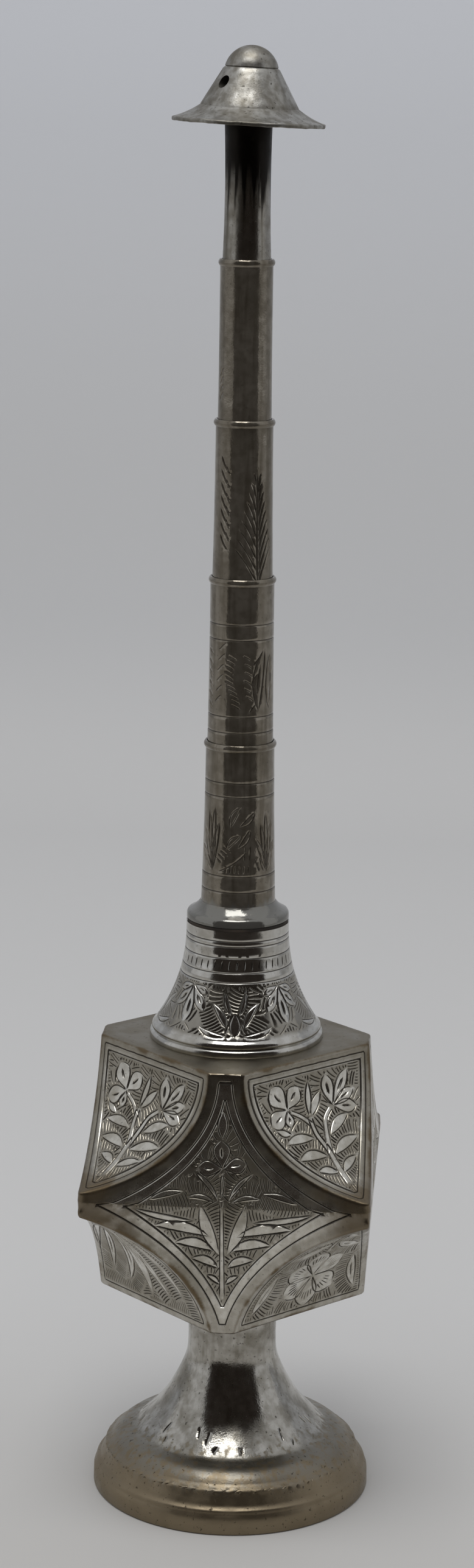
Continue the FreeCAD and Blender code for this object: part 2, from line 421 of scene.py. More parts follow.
def activate(piece):
    deselect()
    piece.select_set(True)
    bpy.context.view_layer.objects.active = piece


def closeMesh(piece):
    activate(piece)
    bpy.ops.object.mode_set(mode="EDIT")
    bpy.ops.mesh.select_all(action="SELECT")
    bpy.ops.mesh.remove_doubles(threshold=weld["mesh"] * mm)
    bpy.ops.mesh.delete_loose()
    bpy.ops.mesh.select_all(action="SELECT")
    bpy.ops.mesh.normals_make_consistent(inside=False)
    bpy.ops.object.mode_set(mode="OBJECT")


def smoothShade(piece, degrees):
    activate(piece)
    bpy.ops.object.shade_smooth_by_angle(angle=math.radians(degrees))


def applyModifier(piece, kind, **settings):
    activate(piece)
    bpy.ops.object.modifier_add(type=kind)
    modifier = piece.modifiers[-1]
    for name, value in settings.items():
        setattr(modifier, name, value)
    bpy.ops.object.modifier_apply(modifier=modifier.name)


def makePiece(name, skin):
    mesh = bpy.data.meshes.new(name)
    mesh.from_pydata(skin["points"], [], skin["faces"])
    for layer in layers:
        attribute = mesh.attributes.new(layer, "FLOAT", "POINT")
        attribute.data.foreach_set("value", skin[layer])
    piece = bpy.data.objects.new(name, mesh)
    bpy.context.collection.objects.link(piece)
    closeMesh(piece)
    return piece


pieces = []


def finishPiece(piece, node, body, smoothBelow=40):
    smoothShade(piece, smoothBelow)
    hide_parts(node)
    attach(piece, body)
    pieces.append(piece)
    print(piece.name, len(piece.data.polygons), "faces")


# Lathe work: a profile is drawn point by point and spun about the axis

spinSteps = 160
weld = {"profile": 0.0005, "mesh": 0.001}


def turnOnLathe(name, profile, closed=True):
    deselect()
    bpy.ops.mesh.primitive_plane_add(size=2 * mm)
    piece = bpy.context.object
    piece.name = piece.data.name = name
    bpy.ops.object.mode_set(mode="EDIT")
    bpy.ops.mesh.select_all(action="SELECT")
    bpy.ops.mesh.merge(type="CENTER")
    here = None
    for radius, height in profile + profile[:1] if closed else profile:
        there = Vector((radius, 0, height)) * mm
        if here is None:
            bpy.ops.transform.translate(value=there)
        else:
            bpy.ops.mesh.extrude_vertices_move(TRANSFORM_OT_translate={"value": there - here})
        here = there
    bpy.ops.mesh.select_all(action="SELECT")
    bpy.ops.mesh.remove_doubles(threshold=weld["profile"] * mm)
    bpy.ops.mesh.select_all(action="SELECT")
    bpy.ops.mesh.spin(steps=spinSteps, angle=fullTurn, center=(0, 0, 0), axis=(0, 0, 1))
    closeMesh(piece)
    return piece


def around(curve, gauge):
    # a flat sheet wrapped round a turned surface; gauge is the radius at which sheet widths are true
    lengths = measured(curve)

    def place(u, v):
        v = min(max(v, 0.0), lengths[-1])
        i = min(int(np.searchsorted(lengths, v, side="right")) - 1, len(curve) - 2)
        share = (v - lengths[i]) / (lengths[i + 1] - lengths[i])
        here = curve[i + 1] - curve[i]
        before = curve[i] - curve[i - 1] if i else here
        after = curve[i + 2] - curve[i + 1] if i + 2 < len(curve) else here
        way = (before + here).lerp(here + after, share).normalized()
        spot = curve[i].lerp(curve[i + 1], share)
        turn = u / gauge
        out = Vector((math.sin(turn), -math.cos(turn), 0))
        return out * spot.x + Vector((0, 0, spot.y)), out * way.y - Vector((0, 0, way.x))

    return place, lengths[-1]


def riseAt(curve, height):
    # way along a turned surface at a given height
    return float(np.interp(height, [p.y for p in curve], measured(curve)))


def acrossSheet(gauge, height):
    # a level line right round a turned piece
    half = math.pi * gauge
    return [at(-half + 2 * half * i / spinSteps, height) for i in range(spinSteps + 1)]


def ringCuts(design, gauge, heights, halfWidth):
    for height in heights:
        cut(design, acrossSheet(gauge, height), halfWidth, "ring")


def engraveOnLathe(name, restOfProfile, curve, design, gauge, step):
    # the engraved sheet is wrapped into the gap that the spun rest of the profile leaves
    rest = turnOnLathe(name + "Rest", restOfProfile, closed=False)
    place, length = around(curve, gauge)
    bottom, top = acrossSheet(gauge, 0), acrossSheet(gauge, length)
    rise = max(2, math.ceil(length / step))
    side = [at(math.pi * gauge, length * i / rise) for i in range(1, rise)]
    skin = newSkin()
    addPatch(skin, carve(design, bottom + side + top[::-1] + mirrored(side), step=step), place)
    addPlain(skin, [v.co / mm for v in rest.data.vertices], [list(f.vertices) for f in rest.data.polygons])
    bpy.data.objects.remove(rest)
    return makePiece(name, skin)


# Vessel: four leaning facets and four hollow panels to each half

vessel = {"endHalf": 26.0, "equatorHalf": 27.7, "height": vesselTop - vesselMiddle, "wall": 1.6,
          "rowStep": 0.5, "cornerSteps": 4, "easing": 16, "meshStep": 0.85, "flatStep": 1.2, "corner": 1.6,
          "cornerRows": (0.9, 2.0), "flatGround": 1.4, "holeSteps": 64, "smoothBelow": 26,
          "innerRows": (0, 0.12, 0.25, 0.4, 0.55, 0.7, 0.85)}
upperHalf = {"sign": 1, "panelRadius": 25.5, "tipHalf": 3.3, "sideTip": 1.7, "hole": 10.0}
lowerHalf = {"sign": -1, "panelRadius": 30.4, "tipHalf": 2.2, "sideTip": 3.0, "hole": 3.1}
ridge = {"fineRows": 400, "crowding": 1.6}


def facetReach(height):
    lean = (vessel["equatorHalf"] - vessel["endHalf"]) / vessel["height"]
    return vessel["equatorHalf"] - lean * height


def panelArc(half):
    # centre of the panel's round section, in the upright plane through a corner
    head = at((vessel["endHalf"] + half["tipHalf"]) * halfRoot, vessel["height"])
    tip = at(facetReach(half["sideTip"]) / halfRoot, half["sideTip"])
    chord = tip - head
    sag = math.sqrt(half["panelRadius"] ** 2 - (chord.length / 2) ** 2)
    return (head + tip) / 2 + turnLeft(chord.normalized()) * sag


def panelReach(half, height):
    centre = panelArc(half)
    return centre.x - math.sqrt(half["panelRadius"] ** 2 - (centre.y - height) ** 2)


def facetHalfWidth(half, height):
    if height <= half["sideTip"]:
        return facetReach(height)
    return panelReach(half, height) / halfRoot - facetReach(height)


def panelHalfWidth(half, height):
    return facetReach(height) / halfRoot - panelReach(half, height)


def panelTurn(half, height):
    return math.asin((panelArc(half).y - height) / half["panelRadius"])


def panelRun(half, height):
    # way along the panel's round section, from its side tip
    return half["panelRadius"] * (panelTurn(half, half["sideTip"]) - panelTurn(half, height))


def panelHeight(half, run):
    turn = panelTurn(half, half["sideTip"]) - run / half["panelRadius"]
    return panelArc(half).y - half["panelRadius"] * math.sin(turn)


def ridgeHeights(half):
    # heights of the points along a ridge, evenly spaced on the facet
    tip, top = half["sideTip"], vessel["height"]
    count = ridge["fineRows"]
    fine = [tip + (top - tip) * (i / count) ** ridge["crowding"] for i in range(count + 1)]
    lengths = measured([at(facetHalfWidth(half, h), h) for h in fine])
    count = math.ceil(lengths[-1] / vessel["rowStep"])
    return [float(np.interp(lengths[-1] * i / count, lengths, fine)) for i in range(count + 1)]


def facetRidge(half):
    return [at(facetHalfWidth(half, h), h) for h in ridgeHeights(half)]


def panelRidge(half):
    line = [at(panelHalfWidth(half, h), panelRun(half, h)) for h in ridgeHeights(half)]
    line[0].x = 0
    return line


def endRow(corner):
    # points along the end's edge, leftwards from its right corner
    count = 2 * math.ceil(corner.x / vessel["rowStep"])
    return [at(corner.x * (1 - 2 * i / count), corner.y) for i in range(1, count)]


def facetOutline(half):
    steps = [half["sideTip"] * i / vessel["cornerSteps"] for i in range(vessel["cornerSteps"])]
    right = [at(facetReach(h), h) for h in steps] + facetRidge(half)
    left = mirrored(right)
    base = spaced([at(-facetReach(0), 0), at(facetReach(0), 0)], vessel["rowStep"])[1:-1]
    return base + right + endRow(right[-1]) + left, [right, left, [right[-1], left[0]]]


def panelOutline(half):
    right = panelRidge(half)
    left = mirrored(right[1:])
    return right + endRow(right[-1]) + left, [right, left + right[:1], [right[-1], left[0]]]


def quarterTurn(point, quarter):
    for _ in range(quarter):
        point = Vector((-point.y, point.x, point.z))
    return point


def facetPlace(half, quarter):
    outward = quarterTurn(Vector((0, -1, 0)), quarter)

    def place(u, v):
        return quarterTurn(Vector((u, -facetReach(v), vesselMiddle + half["sign"] * v)), quarter), outward

    return place


def panelPlace(half, quarter):
    centre = panelArc(half)

    def place(u, v):
        height = panelHeight(half, v)
        reach = panelReach(half, height)
        spot = Vector((reach + u, u - reach, 0)) * halfRoot
        spot += Vector((0, 0, vesselMiddle + half["sign"] * height))
        hollow = (centre - at(reach, height)).normalized()
        outward = Vector((hollow.x * halfRoot, -hollow.x * halfRoot, hollow.y * half["sign"]))
        return quarterTurn(spot, quarter), quarterTurn(outward, quarter)

    return place


# Ornament of the upper panels: a flower and a fan on one stem, with leaves below

panelBorders = {"lines": (1.35, 2.55), "ground": 2.75, "tip": 0.12, "headGap": 0.1, "headReach": 0.05,
                "headStep": 1.0}


def panelBorder(half, inset):
    line = panelRidge(half)
    top = line[-1].y - inset
    right = [p for p in beside(line, [inset] * len(line))[0]
             if p.x > panelBorders["tip"] and p.y < top - panelBorders["headGap"]]
    end = right[-1].x + panelBorders["headReach"]
    return right + spaced([at(end, top), at(-end, top)], panelBorders["headStep"]) + mirrored(right)


def borderedPanel(half, insets):
    design = newDesign()
    for inset in insets:
        cut(design, panelBorder(half, inset), graver["border"], True)
    return design


def upperPanelDesign():
    design = borderedPanel(upperHalf, panelBorders["lines"])
    stem(design, [(0.3, 6.6), (0.4, 10.5), (0.2, 14.5), (-1.0, 18.0), (-1.3, 21.2)], 0.7, 0.45)
    stem(design, [(0.5, 13.5), (1.3, 17.0), (2.3, 20.3), (4.3, 22.2)], 0.6, 0.4)
    stem(design, [(-1.2, 19.8), (-3.2, 21.8), (-5.6, 23.2)], 0.5, 0.35)
    flower(design, (-6.2, 23.7), ((48, 5.2, 1.8), (125, 5.8, 2.1), (208, 5.2, 1.8), (268, 3.4, 1.1)))
    leaves(design, (((-1.3, 21.6), (-0.2, 28.2), -0.1, 0.7), ((-0.9, 21.4), (2.6, 25.8), 0.1, 0.85)))
    flower(design, (5.0, 22.4), ((97, 6.3, 1.5), (52, 7.9, 1.25), (22, 6.3, 1.15), (-10, 5.8, 1.35)))
    leaves(design, (
        ((2.3, 17.2), (8.2, 20.4), 0.4, 1.0), ((1.4, 13.2), (8.6, 15.7), 0.6, 1.05),
        ((0.9, 9.2), (6.0, 12.0), 0.4, 0.85), ((-1.7, 17.2), (-8.8, 17.4), -0.6, 0.95),
        ((-0.5, 13.2), (-7.5, 13.7), -0.8, 1.05), ((-0.3, 9.4), (-4.7, 10.7), -0.5, 0.85),
        ((-6.8, 19.0), (-10.0, 20.4), 0.1, 0.65)))
    hatchGround(design, panelBorder(upperHalf, panelBorders["ground"]))
    return design


# Ornament of the facets: a trefoil above, a palm below, both in a double border

facetBorders = {"lines": (2.0, 3.5), "ground": 3.7, "axis": 0.05, "headGap": 1.5}


def ridgeBorder(half, inset):
    # border that follows the right ridge inwards, from the side tip to the middle
    line = facetRidge(half)
    drawn = [inset * (1 + (p.x / vessel["equatorHalf"]) ** 2) for p in line]
    axis, top = facetBorders["axis"], vessel["height"] - facetBorders["headGap"]
    return [at(p.x, p.y * half["sign"]) for p in beside(line, drawn)[0] if p.x > axis and axis < p.y < top]


def facetBorder(inset):
    right = ridgeBorder(upperHalf, inset)[::-1] + ridgeBorder(lowerHalf, inset)
    return right + mirrored(right)


def facetDesign():
    design = newDesign()
    for inset in facetBorders["lines"]:
        cut(design, facetBorder(inset), graver["border"], True)
    stem(design, [(-0.1, -18.4), (-0.2, -9.0), (-0.3, 1.4)], 0.45, 0.3)
    leaf(design, (-0.4, 13.3), (-0.3, 18.6), 0, 0.9)
    flower(design, (-0.2, 7.6), ((94, 5.4, 1.6), (180, 4.7, 1.5), (14, 4.5, 1.5)))
    leaf(design, (-0.3, 2.0), (-0.2, 6.8), 0, 0.35)
    leafPairs(design, (
        ((1.0, 1.3), (5.7, 6.9), 0.6, 0.45), ((1.5, 1.0), (7.0, 1.9), 0.7, 0.45),
        ((0.7, -9.6), (4.3, 0.7), -0.5, 1.15), ((2.6, -5.8), (13.2, -4.0), 0.9, 1.05),
        ((1.5, -8.8), (9.2, -7.3), 0.9, 1.0), ((0.8, -12.2), (6.0, -10.4), 0.7, 0.85),
        ((0.5, -15.6), (3.1, -13.7), 0.3, 0.5), ((5.5, -2.8), (17.0, -0.7), -0.5, 0.6),
        ((7.5, 3.0), (14.0, 1.2), 0.4, 0.55)))
    hatchGround(design, facetBorder(facetBorders["ground"]))
    return design


# Ornament of the lower panels: a peony, or a palmette of long leaves

lowerBorders = {"lines": (1.5,), "ground": 1.8}
peony = {"heart": at(0.4, 21.8), "turns": (90, 146, 202, 262, 322, 34), "petal": (7.4, 2.6),
         "fan": (-16, -8, 0, 8, 16), "veins": (3.6, 6.4), "shorter": 0.05, "bow": 0.05}


def peonyDesign():
    design = borderedPanel(lowerHalf, lowerBorders["lines"])
    stem(design, [(0.2, 6.0), (0.0, 9.5), (0.3, 14.0)], 0.6, 0.5)
    heart, (inner, outer) = peony["heart"], peony["veins"]
    for degrees in peony["turns"]:
        petal(design, heart, degrees, *peony["petal"], False)
        for fan in peony["fan"]:
            way = heading(degrees + fan)
            end = heart + way * (outer - abs(fan) * peony["shorter"])
            cut(design, bowed(heart + way * inner, end, peony["bow"], 4), graver["tick"])
    leafPairs(design, (
        ((9.6, 18.4), (13.2, 28.0), 0.4, 1.1, True), ((1.0, 10.6), (8.4, 14.2), 0.7, 1.1, True),
        ((0.8, 6.8), (5.2, 9.6), 0.5, 0.7)))
    hatchGround(design, panelBorder(lowerHalf, lowerBorders["ground"]))
    return design


def palmetteDesign():
    design = borderedPanel(lowerHalf, lowerBorders["lines"])
    leaf(design, (0, 6.5), (0.4, 27.8), 0, 1.6, True)
    leafPairs(design, (
        ((1.0, 9.0), (6.2, 26.8), 1.4, 1.0, True), ((1.6, 8.6), (10.6, 25.4), -0.6, 0.9, True),
        ((2.2, 8.2), (12.8, 21.0), -1.4, 0.8)))
    hatchGround(design, panelBorder(lowerHalf, lowerBorders["ground"]))
    return design


def halfOf(design, half):
    # one half of the facet's design, with heights counted from the equator
    sign = half["sign"]
    mask, low = design["ground"]
    if sign < 0:
        mask, low = mask[::-1], at(low.x, -low.y - mask.shape[0] * hatch["cell"])
    cuts = [([at(p.x, p.y * sign) for p in line], *rest) for line, *rest in design["cuts"]]
    return {"cuts": cuts, "ground": (mask, low)}


# Building the vessel's halves

def circle(radius, count, height=0):
    turns = [fullTurn * i / count for i in range(count)]
    return [Vector((radius * math.cos(turn), radius * math.sin(turn), height)) for turn in turns]


def flattened(points):
    return [p.to_2d() for p in points]


def tubeFaces(rows, count):
    # faces between rings of points that follow each other
    return [[row * count + i, row * count + (i + 1) % count, (row + 1) * count + (i + 1) % count,
             (row + 1) * count + i] for row in range(rows - 1) for i in range(count)]


def innerLoop(half, height):
    reach = facetReach(height) - vessel["wall"]
    side = min(reach, facetHalfWidth(half, height))
    z = vesselMiddle + half["sign"] * height
    return [quarterTurn(Vector((x, -reach, z)), quarter) for quarter in range(4) for x in (-side, side)]


def flatPatch(skin, outline, hole, height, facing, edges=()):
    patch = carve(newDesign(), outline, [hole], vessel["flatStep"], edges)
    patch["ground"] = [vessel["flatGround"]] * len(patch["flat"])
    addPatch(skin, patch, lambda u, v: (Vector((u, v, height)), Vector((0, 0, facing))))


def roundedCorner(x, y, reach):
    # the same place on a square's side once the corners are rounded
    radius = vessel["corner"]
    inner = reach - radius
    way = Vector((abs(x) - inner, abs(y) - inner))
    if min(way) < 0 or way.length <= radius:
        return x, y
    way = way.normalized() * radius
    return math.copysign(inner + way.x, x), math.copysign(inner + way.y, y)


def easeEdges(piece):
    # rounds the ridges over by smoothing the rows of points beside them; the equator's corners get a round
    group = piece.vertex_groups.new(name="edge")
    places = [vertex.co.copy() for vertex in piece.data.vertices]
    for i, value in enumerate(piece.data.attributes["edge"].data):
        closeness = 1 - (1 - value.value) * weave["wear"] / weave["ease"]
        if closeness > 0:
            group.add([i], closeness, "REPLACE")
    applyModifier(piece, "SMOOTH", factor=0.5, iterations=vessel["easing"], vertex_group="edge")
    piece.vertex_groups.clear()
    whole, none = vessel["cornerRows"]
    for vertex, place in zip(piece.data.vertices, places):
        height = abs(place.z / mm - vesselMiddle)
        if height < none:
            x, y = roundedCorner(place.x / mm, place.y / mm, facetReach(height))
            share = min(1, (none - height) / (none - whole))
            vertex.co = vertex.co.lerp(Vector((x * mm, y * mm, place.z)), share)


def vesselHalf(name, half, facets, panels):
    skin = newSkin()
    sign, height, steps = half["sign"], vessel["height"], vessel["holeSteps"]
    outline, edges = facetOutline(half)
    facetPatch = carve(facets, outline, step=vessel["meshStep"], edges=edges)
    panelLine, panelEdges = panelOutline(half)
    panelPatches = [carve(panel, panelLine, step=vessel["meshStep"], edges=panelEdges) for panel in panels]
    end = []
    for quarter in range(4):
        onFacet, onPanel = facetPlace(half, quarter), panelPlace(half, quarter)
        addPatch(skin, facetPatch, onFacet)
        addPatch(skin, panelPatches[quarter % len(panels)], onPanel)
        end += [onFacet(p.x, height)[0].to_2d() for p in outline if p.y > height - tiny][::-1]
        end += [onPanel(*p)[0].to_2d() for p in panelLine if p.y > panelEdges[2][0].y - tiny][-2:0:-1]
    hole = flattened(circle(half["hole"], steps))
    outside, ceiling = (vesselMiddle + sign * reach for reach in (height, height - vessel["wall"]))
    flatPatch(skin, end, hole, outside, sign, [end + end[:1]])
    depths = zip(facetPatch["flat"], facetPatch["depth"])
    rim = sorted((p.x, depth) for p, depth in depths if abs(p.y) < tiny)
    base = [quarterTurn(Vector((x, depth * graver["slope"] - facetReach(0), 0)), quarter)
            for quarter in range(4) for x, depth in rim[:-1]]
    loops = [innerLoop(half, height * share) for share in vessel["innerRows"]]
    loops.append(innerLoop(half, height - vessel["wall"]))
    flatPatch(skin, flattened(base), flattened(loops[0][::2]), vesselMiddle, -sign)
    addPlain(skin, [p for loop in loops for p in loop], tubeFaces(len(loops), len(loops[0])))
    flatPatch(skin, flattened(loops[-1]), hole, ceiling, -sign)
    mouth = [p for z in (ceiling, outside) for p in circle(half["hole"], steps, z)]
    addPlain(skin, mouth, tubeFaces(2, steps))
    piece = makePiece(name, skin)
    easeEdges(piece)
    return piece


facetWork = facetDesign()
upperVessel = vesselHalf("vesselUpper", upperHalf, halfOf(facetWork, upperHalf), [upperPanelDesign()])
finishPiece(upperVessel, "vessel_upper_half", "vessel", vessel["smoothBelow"])
lowerPanels = [peonyDesign(), palmetteDesign()]
lowerVessel = vesselHalf("vesselLower", lowerHalf, halfOf(facetWork, lowerHalf), lowerPanels)
finishPiece(lowerVessel, "vessel_lower_half", "vessel", vessel["smoothBelow"])


# Foot: a stepped rim, a low dome with soft ridges, and a trumpet stem

foot = {"rim": width("foot"), "domeFoot": (26.0, 5.2), "dome": (18.8, 11.9), "bulge": 1.3, "wall": 1.4,
        "domeSteps": 64, "stemSteps": 14, "gauge": 18.0, "step": 0.7, "smoothBelow": 50,
        "ridges": ((3.1, 0.34, 0.5), (4.3, -0.16, 0.5), (7.3, 0.06, 0.8), (8.6, -0.04, 0.8)),
        "trumpet": ((18.8, 11.9), (13.5, 17.6), (9.5, 25.2), (8.65, 30.5), (9.0, footTop)),
        "lip": ((-0.3, 0), (0, 0.35), (-0.05, 3.1), (-0.35, 3.9), (-0.55, 4.2), (-0.5, 4.55), (-0.8, 4.95)),
        "under": [(24.2, 3.6), (24.7, 0)], "hollow": slice(56, -9, 4), "landing": 6.1, "bore": 3.1,
        "plate": 3.5}
nicks = {"groups": 12, "apart": 0.1, "shift": 0.6, "low": 12.6, "long": 1.5, "vary": 0.9, "bow": 0.12,
         "half": 0.24}
hammer = {"count": 84, "start": 0.97, "uneven": 0.3, "low": 2.75, "long": 0.6, "vary": 0.2, "slant": 0.5,
          "bow": 0.05, "half": 0.14}


def footCurve():
    # dome and stem as one run: the dome carries soft ridges, the stem goes through its template points
    start, end = at(*foot["domeFoot"]), at(*foot["dome"])
    middle = (start + end) / 2 - turnLeft((end - start).normalized()) * foot["bulge"]
    dome = arcAlong(start, middle, end, foot["domeSteps"])
    swells = [sum(tall * math.exp(-((run - far) / wide) ** 2) for far, tall, wide in foot["ridges"])
              for run in measured(dome)]
    return beside(dome, swells)[1] + through(foot["trumpet"], foot["stemSteps"])[1:]


def footDesign(curve):
    # groups of nicks at the foot of the stem, and a ring of hammer marks on the dome, unevenly spaced
    design = newDesign()
    for i in range(nicks["groups"]):
        middle = fullTurn * (i + 0.5) / nicks["groups"] - math.pi
        for number in range(1 + (i * 7) % 3):
            u = (middle + nicks["apart"] * (number - nicks["shift"])) * foot["gauge"]
            low = riseAt(curve, nicks["low"] + nicks["vary"] * ((i + 2 * number) % 3))
            high = low + nicks["long"] + nicks["vary"] * ((2 * i + number) % 3)
            slant = nicks["vary"] * math.sin(3.7 * i + number)
            cut(design, bowed((u, low), (u + slant, high), nicks["bow"], 6), nicks["half"])
    for i in range(hammer["count"]):
        share = (i + hammer["uneven"] * math.sin(2.3 * i)) / hammer["count"]
        u = (fullTurn * share - math.pi * hammer["start"]) * foot["gauge"]
        low = hammer["low"] + hammer["vary"] * math.sin(5.1 * i)
        high = low + hammer["long"] + hammer["vary"] * math.sin(1.7 * i)
        cut(design, bowed((u, low), (u + hammer["slant"], high), hammer["bow"], 3), hammer["half"])
    return design


def makeFoot():
    curve = footCurve()
    hollow = [(p.x - foot["wall"], p.y) for p in curve[foot["hollow"]]]
    ceiling = footTop - foot["plate"]
    over = [curve[-1], (foot["landing"], footTop), (foot["bore"], footTop), (foot["bore"], ceiling),
            (hollow[-1][0], ceiling)]
    rest = over + hollow[::-1] + foot["under"] + moved(foot["lip"], foot["rim"]) + curve[:1]
    return engraveOnLathe("footShell", rest, curve, footDesign(curve), foot["gauge"], foot["step"])


finishPiece(makeFoot(), "foot", "vessel", foot["smoothBelow"])


# Bell: a moulded flange and an engraved flare with four palmettes

bell = {"flange": width("bell_neck"), "flareFoot": (15.62, vesselTop + 3.2),
        "waist": (11.65, vesselTop + 11.0), "top": (9.9, bellTop), "lip": 0.6, "throat": 12.8,
        "throatHeight": 3.2, "socket": 8.5, "socketLength": 9.6, "gauge": 12.4, "step": 0.7,
        "flareSteps": 40, "rollSteps": 10,
        "disc": ((-0.15, 0), (0, 0.3), (0, 0.95), (-0.22, 1.3), (-0.5, 1.42)),
        "roll": ((-0.64, 1.5), (-0.42, 2.1), (-1.05, 3.0))}
bellWork = {"rings": (113.4, 112.4, 110.2, 107.4, 105.6), "ticks": 44, "tickBand": (107.9, 109.8),
            "tickHalf": 0.17, "tickSlant": (-0.1, 0.15), "tickBow": 0.03, "turn": 3.0, "heart": 104.6,
            "palmette": ((270, 7.6, 1.25), (308, 6, 1.1), (232, 6, 1.1), (342, 4.2, 0.8), (198, 4.2, 0.8)),
            "lastLeaves": 7.2, "seam": 0.3, "fieldFoot": 0.45, "fieldGap": 0.25}


def bellLeaves(design, middle):
    leaf(design, (middle, 0.7), (middle, 5.4), 0, 0.9)
    leafPairs(design, (((1.3, 0.9), (6.4, 2.4), -0.5, 0.5), ((1.5, 2.4), (4.6, 7.2), 0.5, 0.6),
                       ((0.7, 4.9), (2.2, 9.4), -0.2, 0.4)), middle)


def bellDesign(curve):
    design = newDesign()
    gauge, work = bell["gauge"], bellWork
    rises = [riseAt(curve, height) for height in work["rings"]]
    ringCuts(design, gauge, rises, graver["outline"])
    low, high = (riseAt(curve, height) for height in work["tickBand"])
    for i in range(work["ticks"]):
        u = (fullTurn * (i + 0.5) / work["ticks"] - math.pi) * gauge
        start, end = (u + work["tickSlant"][0], low), (u + work["tickSlant"][1], high)
        cut(design, bowed(start, end, work["tickBow"], 4), work["tickHalf"])
    quarter = math.pi * gauge / 2
    shift = math.radians(work["turn"]) * gauge
    for i in range(4):
        flower(design, at((i - 1.5) * quarter + shift, riseAt(curve, work["heart"])), work["palmette"])
        bellLeaves(design, (i - 1) * quarter + shift if i < 3 else -2 * quarter + work["lastLeaves"])
    half, sill, head = 2 * quarter - work["seam"], work["fieldFoot"], rises[-1] - work["fieldGap"]
    field = [at(-half, sill), at(half, sill), at(half, head), at(-half, head)]
    hatchGround(design, field, [field[2:], field[:2]])
    return design


def makeBell():
    curve = arcAlong(bell["flareFoot"], bell["waist"], bell["top"], bell["flareSteps"])
    roll = arcAlong(*moved(bell["roll"], bell["flange"], vesselTop), bell["rollSteps"])
    moulding = moved(bell["disc"], bell["flange"], vesselTop) + roll + curve[:1]
    inside = [curve[-1], (bell["top"][0] - bell["lip"], bellTop), (bell["socket"], bellTop),
              (bell["socket"], bellTop - bell["socketLength"]),
              (bell["throat"], vesselTop + bell["throatHeight"]), (bell["throat"], vesselTop)]
    return engraveOnLathe("bell", inside + moulding, curve, bellDesign(curve), bell["gauge"], bell["step"])


finishPiece(makeBell(), "bell_neck", "vessel")


# Collar under the tubes

collar = {"wide": width("neck_collar"), "top": level("neck_collar", True), "bore": 5.75, "head": 7.2,
          "band": ((-0.25, 0), (0, 0.25), (-0.05, 1.2), (-0.3, 1.62)), "cove": (8.15, 2.5), "coveSteps": 8}


def makeCollar():
    band = moved(collar["band"], collar["wide"], collarFoot)
    middle = (collar["cove"][0], collarFoot + collar["cove"][1])
    cove = arcAlong(band[-1], middle, (collar["head"], collar["top"]), collar["coveSteps"])
    bore = [(collar["bore"], collarFoot), (collar["bore"], collar["top"])]
    return turnOnLathe("collar", bore[:1] + band + cove[1:] + bore[1:])


finishPiece(makeCollar(), "neck_collar", "neck")


# Neck tubes, each with a tail in the tube below, and the beads over their joints

tubes = {"feet": (7.15, 6.3, 5.75, 5.05, 4.55), "middles": (6.75, 6.12, 5.5, 4.95, 4.22),
         "heads": (6.55, 6.05, 5.4, 4.94, 4.42), "wall": 0.8, "tail": 4.0, "tailWall": 0.7, "gap": 0.1,
         "step": 0.6, "rows": 36}
tubeFeet = [collar["top"]] + tubeTops[:-1]
neckGraver = {"ring": 0.22, "feather": 0.2, "blade": 0.24, "tick": 0.18, "leaf": 0.5, "spread": 0.1,
              "bow": 0.1}


def tubeBore(index):
    return min(tubes[part][index] for part in ("feet", "middles", "heads")) - tubes["wall"]


def tubeCurve(index):
    low, high = tubeFeet[index], tubeTops[index]
    foot, middle, head = (tubes[part][index] for part in ("feet", "middles", "heads"))
    return arcAlong((foot, low), (middle, (low + high) / 2), (head, high), tubes["rows"])


def tubeInside(index):
    low, high, bore, foot = tubeFeet[index], tubeTops[index], tubeBore(index), tubes["feet"][index]
    inside = [(tubes["heads"][index], high), (bore, high)]
    if index == 0:
        return inside + [(bore, low), (foot, low)]
    tail, tailFoot = tubeBore(index - 1) - tubes["gap"], low - tubes["tail"]
    narrow = min(bore, tail - tubes["tailWall"])
    return inside + [(bore, low + tubes["wall"]), (narrow, low), (narrow, tailFoot), (tail, tailFoot),
                     (tail, low), (foot, low)]


def frond(design, shift, base, tips):
    # leaves that spread from one foot
    base = (shift + base[0], base[1])
    for tip in moved(tips, shift):
        leaf(design, base, tip, neckGraver["spread"] * (tip[0] - base[0]), neckGraver["leaf"])


def feather(design, points, count, way):
    # strokes that cross a curved line, one below the other
    line, half = through(points), at(*way) / 2
    lengths = measured(line)
    for i in range(count):
        far = lengths[-1] * (i + 0.5) / count
        middle = at(*(float(np.interp(far, lengths, [p[axis] for p in line])) for axis in (0, 1)))
        stroke = bowed(middle - half, middle + half, neckGraver["bow"], 6)
        cut(design, tapered(stroke), neckGraver["feather"])


def strokes(design, starts, way, bow, tool):
    for start in starts:
        cut(design, bowed(start, at(*start) + at(*way), bow, 6), neckGraver[tool])


def bothSides(index):
    # shifts of the left and the right part of a tube's work, for the front and for the back
    half = math.pi * tubes["middles"][index]
    return ((0, 0), (half, -half))


